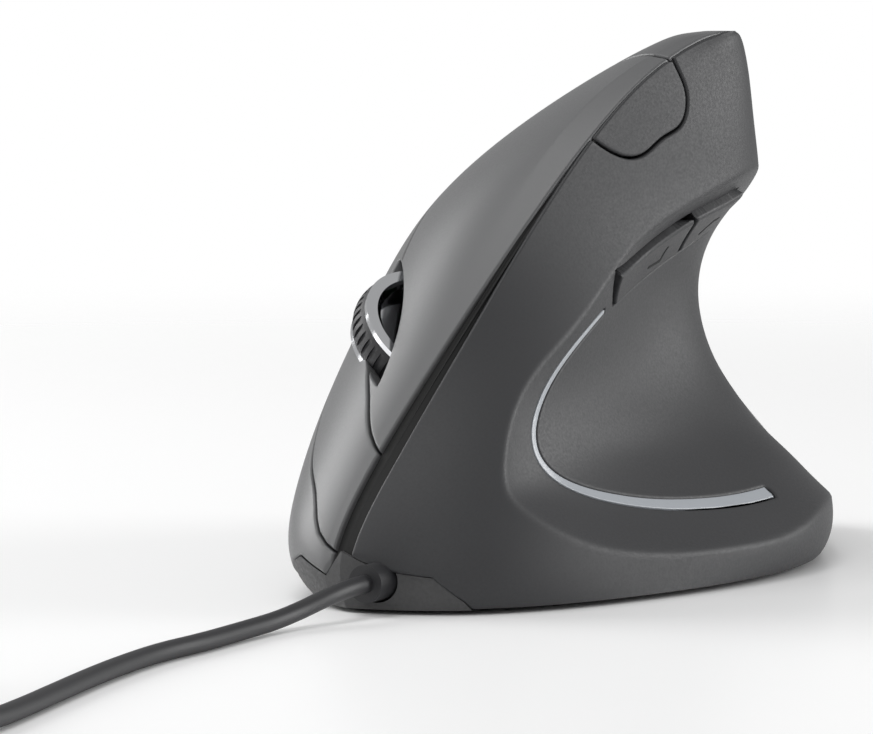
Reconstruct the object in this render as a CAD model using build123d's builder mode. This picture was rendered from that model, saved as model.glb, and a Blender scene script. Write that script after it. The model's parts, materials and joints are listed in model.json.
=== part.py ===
from build123d import *
import math
import os

os.makedirs("parts", exist_ok=True)

# Overall size of the body, with its walls and the gaps between its shells
body_length = 116.4
body_width = 64.0
body_height = 75.2
wall = 2.0
parting_gap = 0.24
seam_gap = 0.36
cover_lift = 0.8
overrun = 60.0

# Step from the drawing's axes to the middle of the body's box
centre_shift = (1.390, 1.262, 0)

# Clearances: between moving pieces, between seated pieces, round a shaft
clearance = 0.3
seat = 0.05
running = 0.04

# Base: its plate stands on feet
foot_height = 0.6
plate_thickness = 2.0
plate_top = foot_height + plate_thickness

# Screws
screw_radius = 1.0
screw_head_radius = 1.9
screw_head_height = 0.9
boss_radius = 2.5
boss_height = 7.0

# Wheel
wheel_radius = 10.5
tyre_crown = 0.6
tyre_width = 4.0
tyre_depth = 1.8
rim_thickness = 0.8
rim_depth = 2.4
tyre_ribs = 48
rib_depth = 0.35
rib_width = 0.7
hub_radius = 3.0
axle_radius = 1.0
slot_length = 26.5
slot_width = 7.0
wheel_press = 0.5

# Travels of the buttons
button_travel = 0.8
key_travel = 0.6

# Boards and switches
board_thickness = 1.0
main_board_height = 7.2
frame_thickness = 1.6
frame_depth = 24.5
switch_length = 12.8
switch_width = 5.8
switch_height = 6.5
plunger_height = 0.6
tact_width = 4.5
tact_height = 0.9
tact_plunger = 0.4
wheel_switch_width = 3.6
wheel_switch_height = 1.6

# Hinge pins of the two finger buttons
pin_radius = 0.9
lug_radius = 2.0
lug_thickness = 1.6

# Cord with its strain relief and plug
cord_radius = 1.2
relief_radius = 2.5
relief_out = 2.4
exit_height = 4.3
coil_pitch = 2.86
coil_layers = 4
coil_half_turns = 7
coil_middle_radius = 12.9
shell_width = 12.0
shell_height = 4.5
shell_length = 12.0
shell_wall = 0.4
overmould_length = 21.0
overmould_width = 15.6
overmould_height = 7.6

# Places on the buttons' plane, as shares of the body's length: switches, frame and board
seam_depth = 17.0
seam_reach = 20.0
post_radius = 1.6
index_switch_share = (0.107, -0.077)
middle_switch_share = (-0.043, -0.082)
wheel_switch_share = (-0.020, 0.028)
wheel_spring_share = (0.016, 0.066)
frame_share = ((0.172, -0.129), (0.172, -0.069), (0.103, -0.017), (0.048, 0.048), (-0.004, 0.112),
               (-0.107, 0.215), (-0.206, 0.241), (-0.241, 0.052), (-0.137, -0.114), (-0.017, -0.148))
board_share = ((0.163, -0.120), (0.163, -0.074), (0.095, -0.021), (0.046, 0.047), (0.009, 0.095),
               (-0.086, 0.095), (-0.120, -0.077), (-0.017, -0.146))

# Hinges of the finger buttons: place on their plane, depth below it, turn of the axis
index_hinge_share = (-0.163, 0.378)
index_hinge_depth = 11.0
index_hinge_turn = 0.0
index_hinge_half = 4.0
middle_hinge_share = (-0.292, 0.266)
middle_hinge_depth = 15.2
middle_hinge_turn = 53.0
middle_hinge_half = 6.0
arm_reach = 21.0

# Wheel cradle
cradle_half = 5.0
cradle_arm = 1.4
cradle_base = 1.2
cradle_depth = 13.2
arm_radius = 2.2
guide_width = 1.4
guide_top = 6.0
encoder_thickness = 3.0

# Plan places in shares of width and length
left_boss_share = ((0.328, 0.069), (0.227, -0.292), (0.141, 0.309))
palm_boss_share = ((-0.375, -0.120), (-0.312, 0.309))
board_post_share = ((-0.250, 0.189), (0.156, 0.206), (0.188, -0.120))
frame_leg_share = ((0.063, -0.318), (-0.234, -0.112), (0.000, -0.017))
main_board_share = ((-0.344, -0.060), (-0.281, -0.172), (0.281, -0.172), (0.328, -0.020), (0.305, 0.172),
                    (0.188, 0.258), (-0.250, 0.292), (-0.344, 0.206))
sensor_share = (-0.141, 0.017)
relief_share = (-0.009, 0.057)
connector_share = (-0.078, -0.146)

# Places on the thumb side in shares of length and height
split_share = ((0.008, 0.668), (0.037, 0.634), (0.056, 0.597), (0.072, 0.560))
side_board_share = ((-0.112, 0.465), (-0.034, 0.459), (0.137, 0.532), (0.137, 0.665), (-0.009, 0.612),
                    (-0.112, 0.552))
side_peg_share = ((-0.073, 0.485), (0.112, 0.552))
forward_switch_share = (-0.034, 0.572)
back_switch_share = (0.095, 0.632)
side_board_place = 5.4
dpi_board_share = ((-0.099, 0.811), (-0.034, 0.751), (0.009, 0.751), (0.052, 0.838), (0.052, 0.885),
                   (-0.017, 0.898), (-0.069, 0.848))
dpi_peg_share = ((-0.013, 0.775), (0.033, 0.871))
dpi_switch_share = (-0.050, 0.832)
dpi_board_place = 6.2

# Light strip let into the thumb scoop
accent_depth = 0.9
accent_width = 1.25
accent_width_share = (0.56, 0.60, 0.66, 0.72, 0.80, 0.88, 0.96, 1.0, 1.0, 1.0, 1.0, 1.0, 1.0)

# How the thumb buttons stand out: the scoop's surface turned about a line below them
thumb_line_share = (0.156, -0.103, 0.503)
thumb_line_rise = 0.3
thumb_tilt = 9.0

# Small features of the shells and the base
rib_thickness = 1.6
boss_top = 18.0
peg_radius = 1.5
sensor_window_length = 10.0
sensor_window_width = 6.0
foot_length = 18.0
foot_width = 4.5
cross_foot_share = ((-0.031, -0.400), (-0.094, 0.395))
side_foot_share = ((0.312, 0.060), (-0.406, 0.060))

# Spring under the wheel
spring_radius = 1.4
spring_wire = 0.25
spring_pitch = 1.0
spring_height = 3.0

# Parts of the boards
board_screw_share = ((-0.077, 0.043), (0.030, 0.000))
screw_reach = 4.0
sensor_length = 9.0
sensor_width = 9.0
sensor_height = 2.0
controller_share = (0.141, 0.086)
chip_width = 7.0
chip_height = 1.0
connector_length = 6.0
connector_width = 4.0
connector_height = 4.0
lens_length = 12.0
lens_width = 10.0
lens_flange = 1.2
lens_radius = 2.5
led_share = (-0.141, 0.086)
led_radius = 1.5
led_height = 3.0
capacitor_share = (-0.062, 0.172)
capacitor_radius = 2.0
capacitor_height = 5.0

# Cord: strain relief, the lead inside, the stretch on the floor and the coil's end
relief_length = 9.2
flange_length = 8.0
flange_thickness = 1.4
lead_radius = 1.0
bend_share = 0.45
lead_share = ((-0.009, -0.429, 0.057), (-0.009, -0.395, 0.057), (-0.055, -0.335, 0.056), (-0.078, -0.275, 0.058),
              (-0.078, -0.215, 0.120), (-0.078, -0.163, 0.136))
cord_share = ((-0.009, -0.5206, 0.0572), (-0.009, -0.567, 0.0572), (-0.053, -0.649, 0.0200),
              (-0.047, -0.747, 0.0164), (-0.031, -0.842, 0.0164), (-0.031, -0.928, 0.0164),
              (0.016, -1.065, 0.0164), (0.078, -1.194, 0.0164), (0.125, -1.289, 0.0164),
              (0.164, -1.375, 0.0180), (0.190, -1.478, 0.0280), (0.190, -1.581, 0.0280))
coil_tail = 18.8
tie_gap = 0.4
tie_thickness = 0.5
tie_width = 3.0
overmould_round = 1.5
tongue_thickness = 1.8

# Heights of the ten levels that carry the body's surface, as shares of its height
level_share = (0.000, 0.106, 0.266, 0.479, 0.665, 0.811, 0.918, 0.973, 0.993, 1.000)

# Lines along the surface: where each crosses the levels, as shares of width and length.
# They go round the body from the front ridge by the thumb side to the rear ridge, and
# back by the palm side.
ridge_share = ((-0.072, -0.500), (-0.091, -0.495), (-0.045, -0.440), (0.030, -0.340), (0.092, -0.236),
               (0.142, -0.143), (0.188, -0.056), (0.222, 0.017), (0.241, 0.057), (0.248, 0.084))
nose_left_share = ((0.163, -0.448), (0.175, -0.443), (0.133, -0.397), (0.141, -0.271), (0.172, -0.137),
                   (0.206, -0.052), (0.231, 0.009), (0.247, 0.053), (0.256, 0.079), (0.258, 0.091))
flank_share = ((0.369, -0.258), (0.359, -0.258), (0.309, -0.241), (0.269, -0.103), (0.256, 0.009),
               (0.263, 0.052), (0.264, 0.077), (0.266, 0.090), (0.263, 0.097), (0.259, 0.097))
heel_left_share = ((0.416, 0.142), (0.456, 0.137), (0.400, 0.129), (0.312, 0.120), (0.281, 0.125),
                   (0.275, 0.125), (0.270, 0.120), (0.264, 0.116), (0.261, 0.112), (0.255, 0.103))
rear_left_share = ((0.266, 0.322), (0.294, 0.326), (0.211, 0.318), (0.117, 0.284), (0.164, 0.258),
                   (0.194, 0.223), (0.225, 0.176), (0.245, 0.142), (0.250, 0.124), (0.253, 0.110))
spine_share = ((0.078, 0.477), (0.094, 0.490), (-0.016, 0.428), (-0.098, 0.376), (0.016, 0.342),
               (0.133, 0.284), (0.188, 0.223), (0.223, 0.166), (0.234, 0.137), (0.237, 0.117))
rear_right_share = ((-0.266, 0.442), (-0.281, 0.455), (-0.281, 0.425), (-0.273, 0.374), (-0.156, 0.326),
                    (-0.016, 0.279), (0.094, 0.220), (0.164, 0.163), (0.188, 0.134), (0.216, 0.113))
palm_share = ((-0.484, 0.069), (-0.516, 0.069), (-0.505, 0.069), (-0.442, 0.086), (-0.333, 0.103),
              (-0.180, 0.107), (-0.008, 0.099), (0.100, 0.090), (0.145, 0.095), (0.197, 0.100))
finger_share = ((-0.336, -0.309), (-0.391, -0.322), (-0.375, -0.305), (-0.341, -0.215), (-0.272, -0.137),
                (-0.145, -0.056), (0.006, 0.009), (0.109, 0.041), (0.155, 0.064), (0.200, 0.088))
index_share = ((-0.156, -0.466), (-0.206, -0.474), (-0.180, -0.423), (-0.117, -0.328), (-0.062, -0.232),
               (0.023, -0.140), (0.109, -0.052), (0.164, 0.011), (0.191, 0.046), (0.219, 0.079))

# The band beside the front ridge: its width at each level and how far its crease stands out
band_width = 4.4
band_rise = 0.5
band_share = (0.55, 0.70, 0.75, 0.85, 1.0, 1.15, 0.95, 0.55, 0.30, 0.20)

# Half the gap along the front ridge at each level
ridge_gap = 1.05
ridge_gap_share = (0.85, 0.95, 1.0, 0.70, 0.38, 0.15, 0.14, 0.14, 0.14, 0.14)

# How much a horizontal inset grows at each level to keep the wall's thickness where it leans
lean_share = (1.05, 1.05, 1.08, 1.15, 1.25, 1.40, 1.60, 1.70)

# Thumb scoop: depth of its surface, as shares of the body's width, on a grid of
# stations along the body and heights
scoop_station_share = (-0.498, -0.395, -0.258, -0.086, 0.043, 0.146, 0.258, 0.361, 0.464, 0.567)
scoop_height_share = (0.053, 0.106, 0.150, 0.194, 0.243, 0.293, 0.359, 0.426, 0.499, 0.576, 0.630, 0.677,
                      0.739, 0.798)
scoop_share = (
    (0.516, 0.430, 0.362, 0.302, 0.275, 0.266, 0.261, 0.266, 0.281, 0.312, 0.344, 0.375, 0.422, 0.469),
    (0.422, 0.336, 0.269, 0.208, 0.181, 0.172, 0.167, 0.172, 0.188, 0.219, 0.250, 0.281, 0.328, 0.375),
    (0.422, 0.334, 0.272, 0.225, 0.191, 0.172, 0.163, 0.172, 0.197, 0.234, 0.266, 0.303, 0.352, 0.398),
    (0.492, 0.400, 0.334, 0.275, 0.222, 0.189, 0.159, 0.150, 0.156, 0.181, 0.216, 0.256, 0.312, 0.366),
    (0.523, 0.447, 0.381, 0.319, 0.259, 0.212, 0.169, 0.145, 0.139, 0.156, 0.194, 0.237, 0.295, 0.348),
    (0.539, 0.466, 0.406, 0.350, 0.284, 0.231, 0.175, 0.141, 0.127, 0.139, 0.170, 0.212, 0.270, 0.328),
    (0.453, 0.378, 0.312, 0.250, 0.178, 0.122, 0.067, 0.031, 0.016, 0.041, 0.084, 0.134, 0.197, 0.266),
    (0.305, 0.234, 0.172, 0.109, 0.039, -0.023, -0.055, -0.078, -0.086, -0.055, 0.000, 0.062, 0.148, 0.234),
    (0.179, 0.112, 0.052, -0.010, -0.079, -0.147, -0.158, -0.171, -0.172, -0.136, -0.072, 0.001, 0.107, 0.208),
    (0.060, -0.003, -0.060, -0.123, -0.190, -0.263, -0.256, -0.259, -0.254, -0.212, -0.139, -0.056, 0.069, 0.183),
)

# Seams between the shells, as points of the surface in shares of width, length and height
middle_seam_share = ((0.022, -0.485, 0.197), (-0.044, -0.443, 0.257), (-0.073, -0.436, 0.275),
                     (-0.111, -0.418, 0.307), (-0.148, -0.385, 0.358), (-0.194, -0.343, 0.410),
                     (-0.247, -0.217, 0.584), (-0.250, -0.120, 0.665), (-0.203, -0.026, 0.758),
                     (-0.148, 0.073, 0.831), (-0.119, 0.113, 0.883))
lower_seam_share = ((-0.081, -0.503, 0.096), (-0.120, -0.495, 0.110), (-0.161, -0.484, 0.129),
                    (-0.203, -0.453, 0.184), (-0.258, -0.410, 0.227), (-0.308, -0.358, 0.273),
                    (-0.375, -0.266, 0.359), (-0.430, -0.129, 0.452), (-0.430, 0.000, 0.539),
                    (-0.383, 0.103, 0.612))
rear_seam_share = ((0.250, -0.022, 0.957), (0.198, -0.015, 0.955), (0.134, -0.006, 0.957),
                   (0.047, 0.017, 0.938), (-0.062, 0.052, 0.884), (-0.188, 0.086, 0.805),
                   (-0.297, 0.112, 0.698), (-0.383, 0.105, 0.608), (-0.414, 0.098, 0.572))

# Outlines seen from the thumb side, in shares of length and height
dpi_seam_share = ((-0.007, 0.976), (-0.004, 0.928), (0.004, 0.895), (0.004, 0.866), (-0.008, 0.830),
                  (-0.038, 0.807), (-0.068, 0.779), (-0.086, 0.773), (-0.113, 0.783), (-0.143, 0.811),
                  (-0.165, 0.832))
accent_share = ((-0.142, 0.496), (-0.211, 0.444), (-0.260, 0.387), (-0.289, 0.336), (-0.303, 0.294),
                (-0.303, 0.259), (-0.290, 0.227), (-0.261, 0.198), (-0.213, 0.174), (-0.156, 0.157),
                (-0.076, 0.146), (-0.003, 0.144), (0.058, 0.149))
thumb_top_share = ((-0.131, 0.564), (-0.070, 0.589), (-0.024, 0.622), (0.016, 0.649), (0.061, 0.670),
                   (0.125, 0.695), (0.163, 0.707))
thumb_low_share = ((-0.100, 0.503), (-0.052, 0.527), (0.017, 0.562), (0.086, 0.601), (0.163, 0.644))

# Top edge of the base's nose seen from the front, in shares of width and height
nose_share = ((-0.328, 0.000), (-0.264, 0.069), (-0.217, 0.086), (-0.130, 0.061), (-0.095, 0.105),
              (-0.044, 0.089), (0.019, 0.074), (0.102, 0.065), (0.155, 0.023), (0.172, 0.000))


def place(share):
    """The plan point of a pair of shares."""
    return Vector(share[0] * body_width, share[1] * body_length)


def spot(share):
    """The point in space of three shares."""
    return Vector(share[0] * body_width, share[1] * body_length, share[2] * body_height)


def side(share):
    """The point of a view from the thumb side of a pair of shares."""
    return Vector(share[0] * body_length, share[1] * body_height)


def left_points(level):
    """Points of one level from the front ridge by the thumb side to the rear ridge."""
    lines = (ridge_share, nose_left_share, flank_share, heel_left_share, rear_left_share, spine_share)
    return [place(line[level]) for line in lines]


def right_points(level):
    """Points of one level from the rear ridge by the palm side to the front."""
    lines = (spine_share, rear_right_share, palm_share, finger_share, index_share)
    return [place(line[level]) for line in lines]


def crease(level):
    """The point of one level where the band beside the front ridge ends."""
    ridge = place(ridge_share[level])
    way = place(index_share[level]) - ridge
    outward = Vector(-way.Y, way.X) * (1 / way.length)
    return ridge + way * (band_width * band_share[level] / way.length) + outward * (band_rise * band_share[level])


def inset(points, distance):
    """A closed ring of plan points moved inwards, each square to its neighbours."""
    ring = []
    for number, point in enumerate(points):
        way = points[(number + 1) % len(points)] - points[number - 1]
        ring.append(point + Vector(-way.Y, way.X) * (distance / way.length))
    return ring


def section(level, depth):
    """The body's closed outline at one level, drawn in by a depth."""
    left = left_points(level)
    right = right_points(level)
    if depth > 0:
        ring = inset(left + right[1:], depth * lean_share[level])
        right = ring[len(left) - 1:]
        left = ring[:len(left)]
    else:
        right.append(crease(level))
    with BuildSketch(Plane.XY.offset(level_share[level] * body_height)) as outline:
        with BuildLine():
            Spline(*left)
            Spline(*right)
            Line(right[-1], left[0])
        make_face()
    return outline.sketch


def zone(level, sign, height):
    """The plan area on one side of the parting at one level, half a gap away from it."""
    front = place(ridge_share[level])
    rear = place(spine_share[level])
    way = rear - front
    across = Vector(way.Y, -way.X) * (1 / way.length)
    front = front + across * (sign * ridge_gap * ridge_gap_share[level])
    rear = rear + across * (sign * parting_gap / 2)
    front = front - way * (overrun / 10 / way.length)
    rear = rear + way * (overrun / 10 / way.length)
    with BuildSketch(Plane.XY.offset(height)) as area:
        with BuildLine():
            Polyline(front, rear, (sign * overrun, rear.Y), (sign * overrun, front.Y), close=True)
        make_face()
    return area.sketch


def ribbon(plane, points, widths):
    """A thin area along a line of points on a plane, with its width at each point."""
    one = []
    other = []
    for number, point in enumerate(points):
        way = points[min(number + 1, len(points) - 1)] - points[max(number - 1, 0)]
        across = Vector(-way.Y, way.X) * (widths[number] / 2 / way.length)
        one.append(point + across)
        other.append(point - across)
    with BuildSketch(plane) as area:
        with BuildLine():
            Spline(*one)
            Line(one[-1], other[-1])
            Spline(*other)
            Line(other[0], one[0])
        make_face()
    return area.sketch


with BuildPart() as outer:
    for level in range(len(level_share)):
        add(section(level, 0))
    loft()

with BuildPart() as scoop:
    for station, row in zip(scoop_station_share, scoop_share):
        with BuildSketch(Plane.XZ.offset(-station * body_length)):
            with BuildLine():
                points = [(x * body_width, z * body_height) for x, z in zip(row, scoop_height_share)]
                Spline(*points)
                Polyline(points[-1], (overrun, points[-1][1]), (overrun, points[0][1]), points[0])
            make_face()
    loft()

with BuildPart() as form:
    add(outer.part)
    add(scoop.part, mode=Mode.SUBTRACT)

# The hollow inside the shells, and a core that ends halfway through their walls
with BuildPart() as hollow:
    for level in range(len(lean_share) - 1):
        add(section(level, wall))
    loft()
    add(scoop.part.moved(Location((-wall, 0, 0))), mode=Mode.SUBTRACT)

with BuildPart() as core:
    for level in range(len(lean_share)):
        add(section(level, wall / 2))
    loft()
    add(scoop.part.moved(Location((-wall / 2, 0, 0))), mode=Mode.SUBTRACT)

# The shells' wall, and the space on each side of the parting between them
with BuildPart() as walls:
    add(form.part)
    add(hollow.part, mode=Mode.SUBTRACT)
    with Locations((0, 0, cover_lift)):
        Box(2 * overrun, 2 * overrun, overrun, align=(Align.CENTER, Align.CENTER, Align.MAX), mode=Mode.SUBTRACT)

with BuildPart() as thumb_zone:
    for level, share in enumerate(level_share):
        add(zone(level, 1, share * body_height))
    add(zone(level, 1, body_height + wall))
    loft()

with BuildPart() as palm_zone:
    for level, share in enumerate(level_share):
        add(zone(level, -1, share * body_height))
    add(zone(level, -1, body_height + wall))
    loft()


def save(part, name):
    """Label a finished piece, bring it over the origin and write it to its own file."""
    part = part.moved(Location(centre_shift))
    part.label = name
    export_step(part, "parts/" + name + ".step")

# Planes that carry the finger buttons and the wheel
button_normal = Vector(-0.52, -0.52, 0.68)
button_plane = Plane(origin=spot((-0.203, -0.292, 0.492)), x_dir=(1, -1, 0), z_dir=button_normal)
wheel_plane = Plane(origin=spot((-0.144, -0.249, 0.444)), x_dir=(-0.709, -0.586, 0.393), z_dir=(0.632, -0.281, 0.722))


def flat(share):
    """A surface point seen along the buttons' normal, in the buttons' plane."""
    point = button_plane.to_local_coords(spot(share))
    return Vector(point.X, point.Y)


# Slot of the wheel: a lens between two arcs along the way the wheel rolls
slot_plane = Plane(origin=spot((-0.210, -0.294, 0.492)), x_dir=wheel_plane.y_dir, z_dir=button_normal)


with BuildPart() as panels:
    add(walls.part)
    add(palm_zone.part, mode=Mode.INTERSECT)
    for line in (middle_seam_share, lower_seam_share, rear_seam_share):
        seam = ribbon(button_plane.offset(-seam_depth), [flat(share) for share in line], [seam_gap] * len(line))
        extrude(seam, amount=seam_depth + seam_reach, mode=Mode.SUBTRACT)
    with BuildSketch(slot_plane.offset(-seam_depth)):
        with BuildLine():
            ThreePointArc((-slot_length / 2, 0), (0, slot_width / 2), (slot_length / 2, 0))
            ThreePointArc((slot_length / 2, 0), (0, -slot_width / 2), (-slot_length / 2, 0))
        make_face()
    extrude(amount=seam_depth + seam_reach, mode=Mode.SUBTRACT)

screw_shares = left_boss_share + palm_boss_share + frame_leg_share

index_hinge = (index_hinge_share, index_hinge_depth, index_hinge_turn, index_hinge_half)
middle_hinge = (middle_hinge_share, middle_hinge_depth, middle_hinge_turn, middle_hinge_half)


def hinge_plane(hinge):
    """The plane square to a button's hinge, with X along the buttons' normal."""
    share, depth, turn, half = hinge
    centre = button_plane.from_local_coords(Vector(share[0] * body_length, share[1] * body_length, -depth))
    tip = button_plane.from_local_coords(Vector(math.cos(math.radians(turn)), math.sin(math.radians(turn)), 0))
    return Plane(origin=centre, x_dir=button_normal, z_dir=tip - button_plane.origin)


def on_board(share, height):
    """A plane parallel to the buttons, at a share of the length and a height over the frame's board."""
    place_there = Vector(share[0] * body_length, share[1] * body_length, board_thickness - frame_depth + height)
    return Plane(origin=button_plane.from_local_coords(place_there), x_dir=wheel_plane.y_dir, z_dir=button_normal)


def button_furniture(hinge, share):
    """A finger button's hinge lugs and its post over the switch, up to the middle of the wall."""
    plane = hinge_plane(hinge)
    with BuildPart() as furniture:
        for place_along in (-hinge[3] + lug_thickness + clearance, hinge[3] - 2 * lug_thickness - clearance):
            with BuildSketch(plane.offset(place_along)):
                Circle(lug_radius)
                Rectangle(seam_depth, 2 * lug_radius, align=(Align.MIN, Align.CENTER))
                Circle(pin_radius + running, mode=Mode.SUBTRACT)
            extrude(amount=lug_thickness)
        with BuildSketch(on_board(share, switch_height + plunger_height + button_travel)):
            Circle(post_radius)
        extrude(amount=seam_reach)
        add(core.part, mode=Mode.INTERSECT)
    return furniture.part


index_shell, middle_shell, palm_shell = [solid for solid in panels.part.solids().sort_by(Axis.Z, reverse=True)]
# Space that the wheel turns in, cut from both finger buttons
wheel_half = tyre_width / 2 + rim_thickness + 2 * clearance
with BuildPart() as wheel_space:
    with BuildSketch(wheel_plane.offset(-wheel_half)):
        Circle(wheel_radius + tyre_crown + 2 * clearance)
    extrude(amount=2 * wheel_half)

with BuildPart() as index_button:
    add(index_shell)
    add(button_furniture(index_hinge, index_switch_share))
    add(wheel_space.part, mode=Mode.SUBTRACT)
save(index_button.part, "index_button")

# Hinge pins, each as long as its arms and lugs together
for name, hinge in ("index_hinge_pin", index_hinge), ("middle_hinge_pin", middle_hinge):
    with BuildPart() as hinge_pin:
        with BuildSketch(hinge_plane(hinge).offset(-hinge[3])):
            Circle(pin_radius)
        extrude(amount=2 * hinge[3])
    save(hinge_pin.part, name)

# The base's nose shows below the shells: its outline from the front, and the bore for the cable
nose_rear = -body_length / 2 + 3 * wall
nose_plane = Plane.XZ.offset(-nose_rear)
with BuildSketch(nose_plane) as nose_outline:
    with BuildLine():
        Polyline(*[(x * body_width, z * body_height) for x, z in nose_share], close=True)
    make_face()

with BuildPart() as relief_bore:
    with BuildSketch(nose_plane.offset(-2 * wall)):
        with Locations((relief_share[0] * body_width, relief_share[1] * body_height)):
            Circle(relief_radius + clearance)
    extrude(amount=overrun)

with BuildPart() as nose_space:
    with BuildSketch(nose_plane.offset(-clearance)):
        with BuildLine():
            Polyline(*[(x * body_width, z * body_height) for x, z in nose_share], close=True)
        make_face()
        offset(amount=clearance / 2, kind=Kind.INTERSECTION)
    extrude(amount=overrun)
    add(relief_bore.part)

# Space of the frame's lugs beside the middle button's wall
with BuildPart() as lug_space:
    with BuildSketch(hinge_plane(middle_hinge).offset(-middle_hinge_half - clearance)):
        Circle(lug_radius + 2 * clearance)
    extrude(amount=2 * (middle_hinge_half + clearance))

# The nose again, grown by the travel of the button that comes down beside it
nose_margin = button_travel + clearance
with BuildPart() as nose_margin_space:
    with BuildSketch(nose_plane.offset(-nose_margin)):
        with BuildLine():
            Polyline(*[(x * body_width, z * body_height) for x, z in nose_share], close=True)
        make_face()
        offset(amount=nose_margin, kind=Kind.INTERSECTION)
    extrude(amount=overrun)

with BuildPart() as middle_button:
    add(middle_shell)
    add(lug_space.part, mode=Mode.SUBTRACT)
    add(button_furniture(middle_hinge, middle_switch_share))
    add(wheel_space.part, mode=Mode.SUBTRACT)
    add(nose_margin_space.part, mode=Mode.SUBTRACT)
save(middle_button.part, "middle_button")

with BuildPart() as nose:
    with BuildSketch(nose_plane):
        with BuildLine():
            Polyline(*[(x * body_width, z * body_height) for x, z in nose_share], close=True)
        make_face()
    extrude(amount=overrun)
    add(form.part, mode=Mode.INTERSECT)
    with Locations((0, 0, foot_height)):
        Box(2 * overrun, 2 * overrun, overrun, align=(Align.CENTER, Align.CENTER, Align.MAX), mode=Mode.SUBTRACT)

with BuildPart() as base_plate:
    add(section(0, wall + clearance).moved(Location((0, 0, foot_height))))
    extrude(amount=plate_thickness)
    add(nose.part)
    add(relief_bore.part, mode=Mode.SUBTRACT)
    with BuildSketch(Plane.XY.offset(plate_top)):
        with Locations(*[place(share) for share in board_post_share]):
            Circle(boss_radius)
    extrude(amount=main_board_height - plate_top)
    with BuildSketch(Plane.XY.offset(plate_top)):
        with Locations(*[place(share) for share in board_post_share]):
            Circle(screw_radius + seat)
    extrude(amount=main_board_height - plate_top, mode=Mode.SUBTRACT)
    with BuildSketch(Plane.XY.offset(foot_height)):
        with Locations(*[place(share) for share in screw_shares]):
            Circle(screw_radius + seat)
        with Locations(place(sensor_share)):
            SlotOverall(sensor_window_length, sensor_window_width)
    extrude(amount=plate_thickness, mode=Mode.SUBTRACT)
    with BuildSketch(Plane.XY.offset(foot_height)):
        with Locations(*[place(share) for share in screw_shares]):
            Circle(screw_head_radius + seat)
    extrude(amount=screw_head_height + seat, mode=Mode.SUBTRACT)
save(base_plate.part, "base_plate")

# Feet: low-friction pads under the plate at the front, the rear and both sides
with BuildPart() as feet:
    with BuildSketch():
        with Locations(*[place(share) for share in cross_foot_share]):
            SlotOverall(foot_length, foot_width)
        with Locations(*[Location(place(share), 90) for share in side_foot_share]):
            SlotOverall(foot_length, foot_width)
    extrude(amount=foot_height)
save(feet.part, "feet")


def boss(share, reach):
    """A screw boss from above the base plate up into a shell's wall, with a rib to one side."""
    with BuildPart() as column:
        with BuildSketch(Plane.XY.offset(plate_top + clearance)):
            with Locations(place(share)):
                Circle(boss_radius)
                Rectangle(reach, rib_thickness, align=(Align.MAX, Align.CENTER))
        extrude(amount=boss_top)
        add(core.part, mode=Mode.INTERSECT)
        with BuildSketch(Plane.XY.offset(plate_top)):
            with Locations(place(share)):
                Circle(screw_radius + seat)
        extrude(amount=boss_height - plate_top, mode=Mode.SUBTRACT)
    return column.part


with BuildPart() as palm_cover:
    add(palm_shell)
    for share in palm_boss_share:
        add(boss(share, 4 * boss_radius))
    add(nose_space.part, mode=Mode.SUBTRACT)
save(palm_cover.part, "palm_cover")



def thumb_field(grow):
    """The field of the thumb buttons seen from their side, grown by a margin."""
    upper = [side(share) + Vector(0, grow) for share in thumb_top_share]
    lower = [side(share) - Vector(0, grow) for share in thumb_low_share]
    for line in (upper, lower):
        line[0] -= Vector(grow, 0)
        line[-1] += Vector(grow, 0)
    with BuildSketch(Plane.YZ) as field:
        with BuildLine():
            Spline(*upper)
            Line(upper[-1], lower[-1])
            Spline(*lower)
            Line(lower[0], upper[0])
        make_face()
    return field.sketch


# Thumb buttons: their field in the scoop, split in two, standing out along its top edge
with BuildPart() as thumb_window:
    extrude(thumb_field(clearance), amount=overrun)

thumb_line = Axis(spot(thumb_line_share), (0, 1, thumb_line_rise))
with BuildPart() as thumb_keys:
    extrude(thumb_field(0), amount=overrun)
    add(outer.part, mode=Mode.INTERSECT)
    add(scoop.part.rotate(thumb_line, thumb_tilt), mode=Mode.SUBTRACT)
    add(hollow.part, mode=Mode.SUBTRACT)
    seam = ribbon(Plane.YZ, [side(share) for share in split_share], [clearance] * len(split_share))
    extrude(seam, amount=overrun, mode=Mode.SUBTRACT)

front_key, rear_key = thumb_keys.part.solids().sort_by(Axis.Y)
with BuildPart() as forward_button:
    add(front_key)
save(forward_button.part, "forward_button")

with BuildPart() as back_button:
    add(rear_key)
save(back_button.part, "back_button")

# Light strip in a groove of the scoop, wider along the bottom than at its upper end
accent_points = [side(share) for share in accent_share]
with BuildPart() as accent_groove:
    widths = [accent_width * share + 2 * seat for share in accent_width_share]
    extrude(ribbon(Plane.YZ, accent_points, widths), amount=overrun)
    add(scoop.part.moved(Location((-accent_depth - seat, 0, 0))), mode=Mode.INTERSECT)

with BuildPart() as accent_strip:
    widths = [accent_width * share for share in accent_width_share]
    extrude(ribbon(Plane.YZ, accent_points, widths), amount=overrun)
    add(scoop.part.moved(Location((-accent_depth, 0, 0))), mode=Mode.INTERSECT)
    add(scoop.part, mode=Mode.SUBTRACT)
save(accent_strip.part, "accent_strip")


def peg(share, board_place):
    """A peg along X that stands from a shell's wall to a board on its side and through it."""
    with BuildPart() as stud:
        with BuildSketch(Plane.YZ.offset(board_place + board_thickness)):
            with Locations(side(share)):
                Circle(peg_radius)
        extrude(amount=overrun)
        with BuildSketch(Plane.YZ.offset(board_place - clearance)):
            with Locations(side(share)):
                Circle(peg_radius / 2)
        extrude(amount=2 * board_thickness)
        add(core.part, mode=Mode.INTERSECT)
    return stud.part


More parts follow.
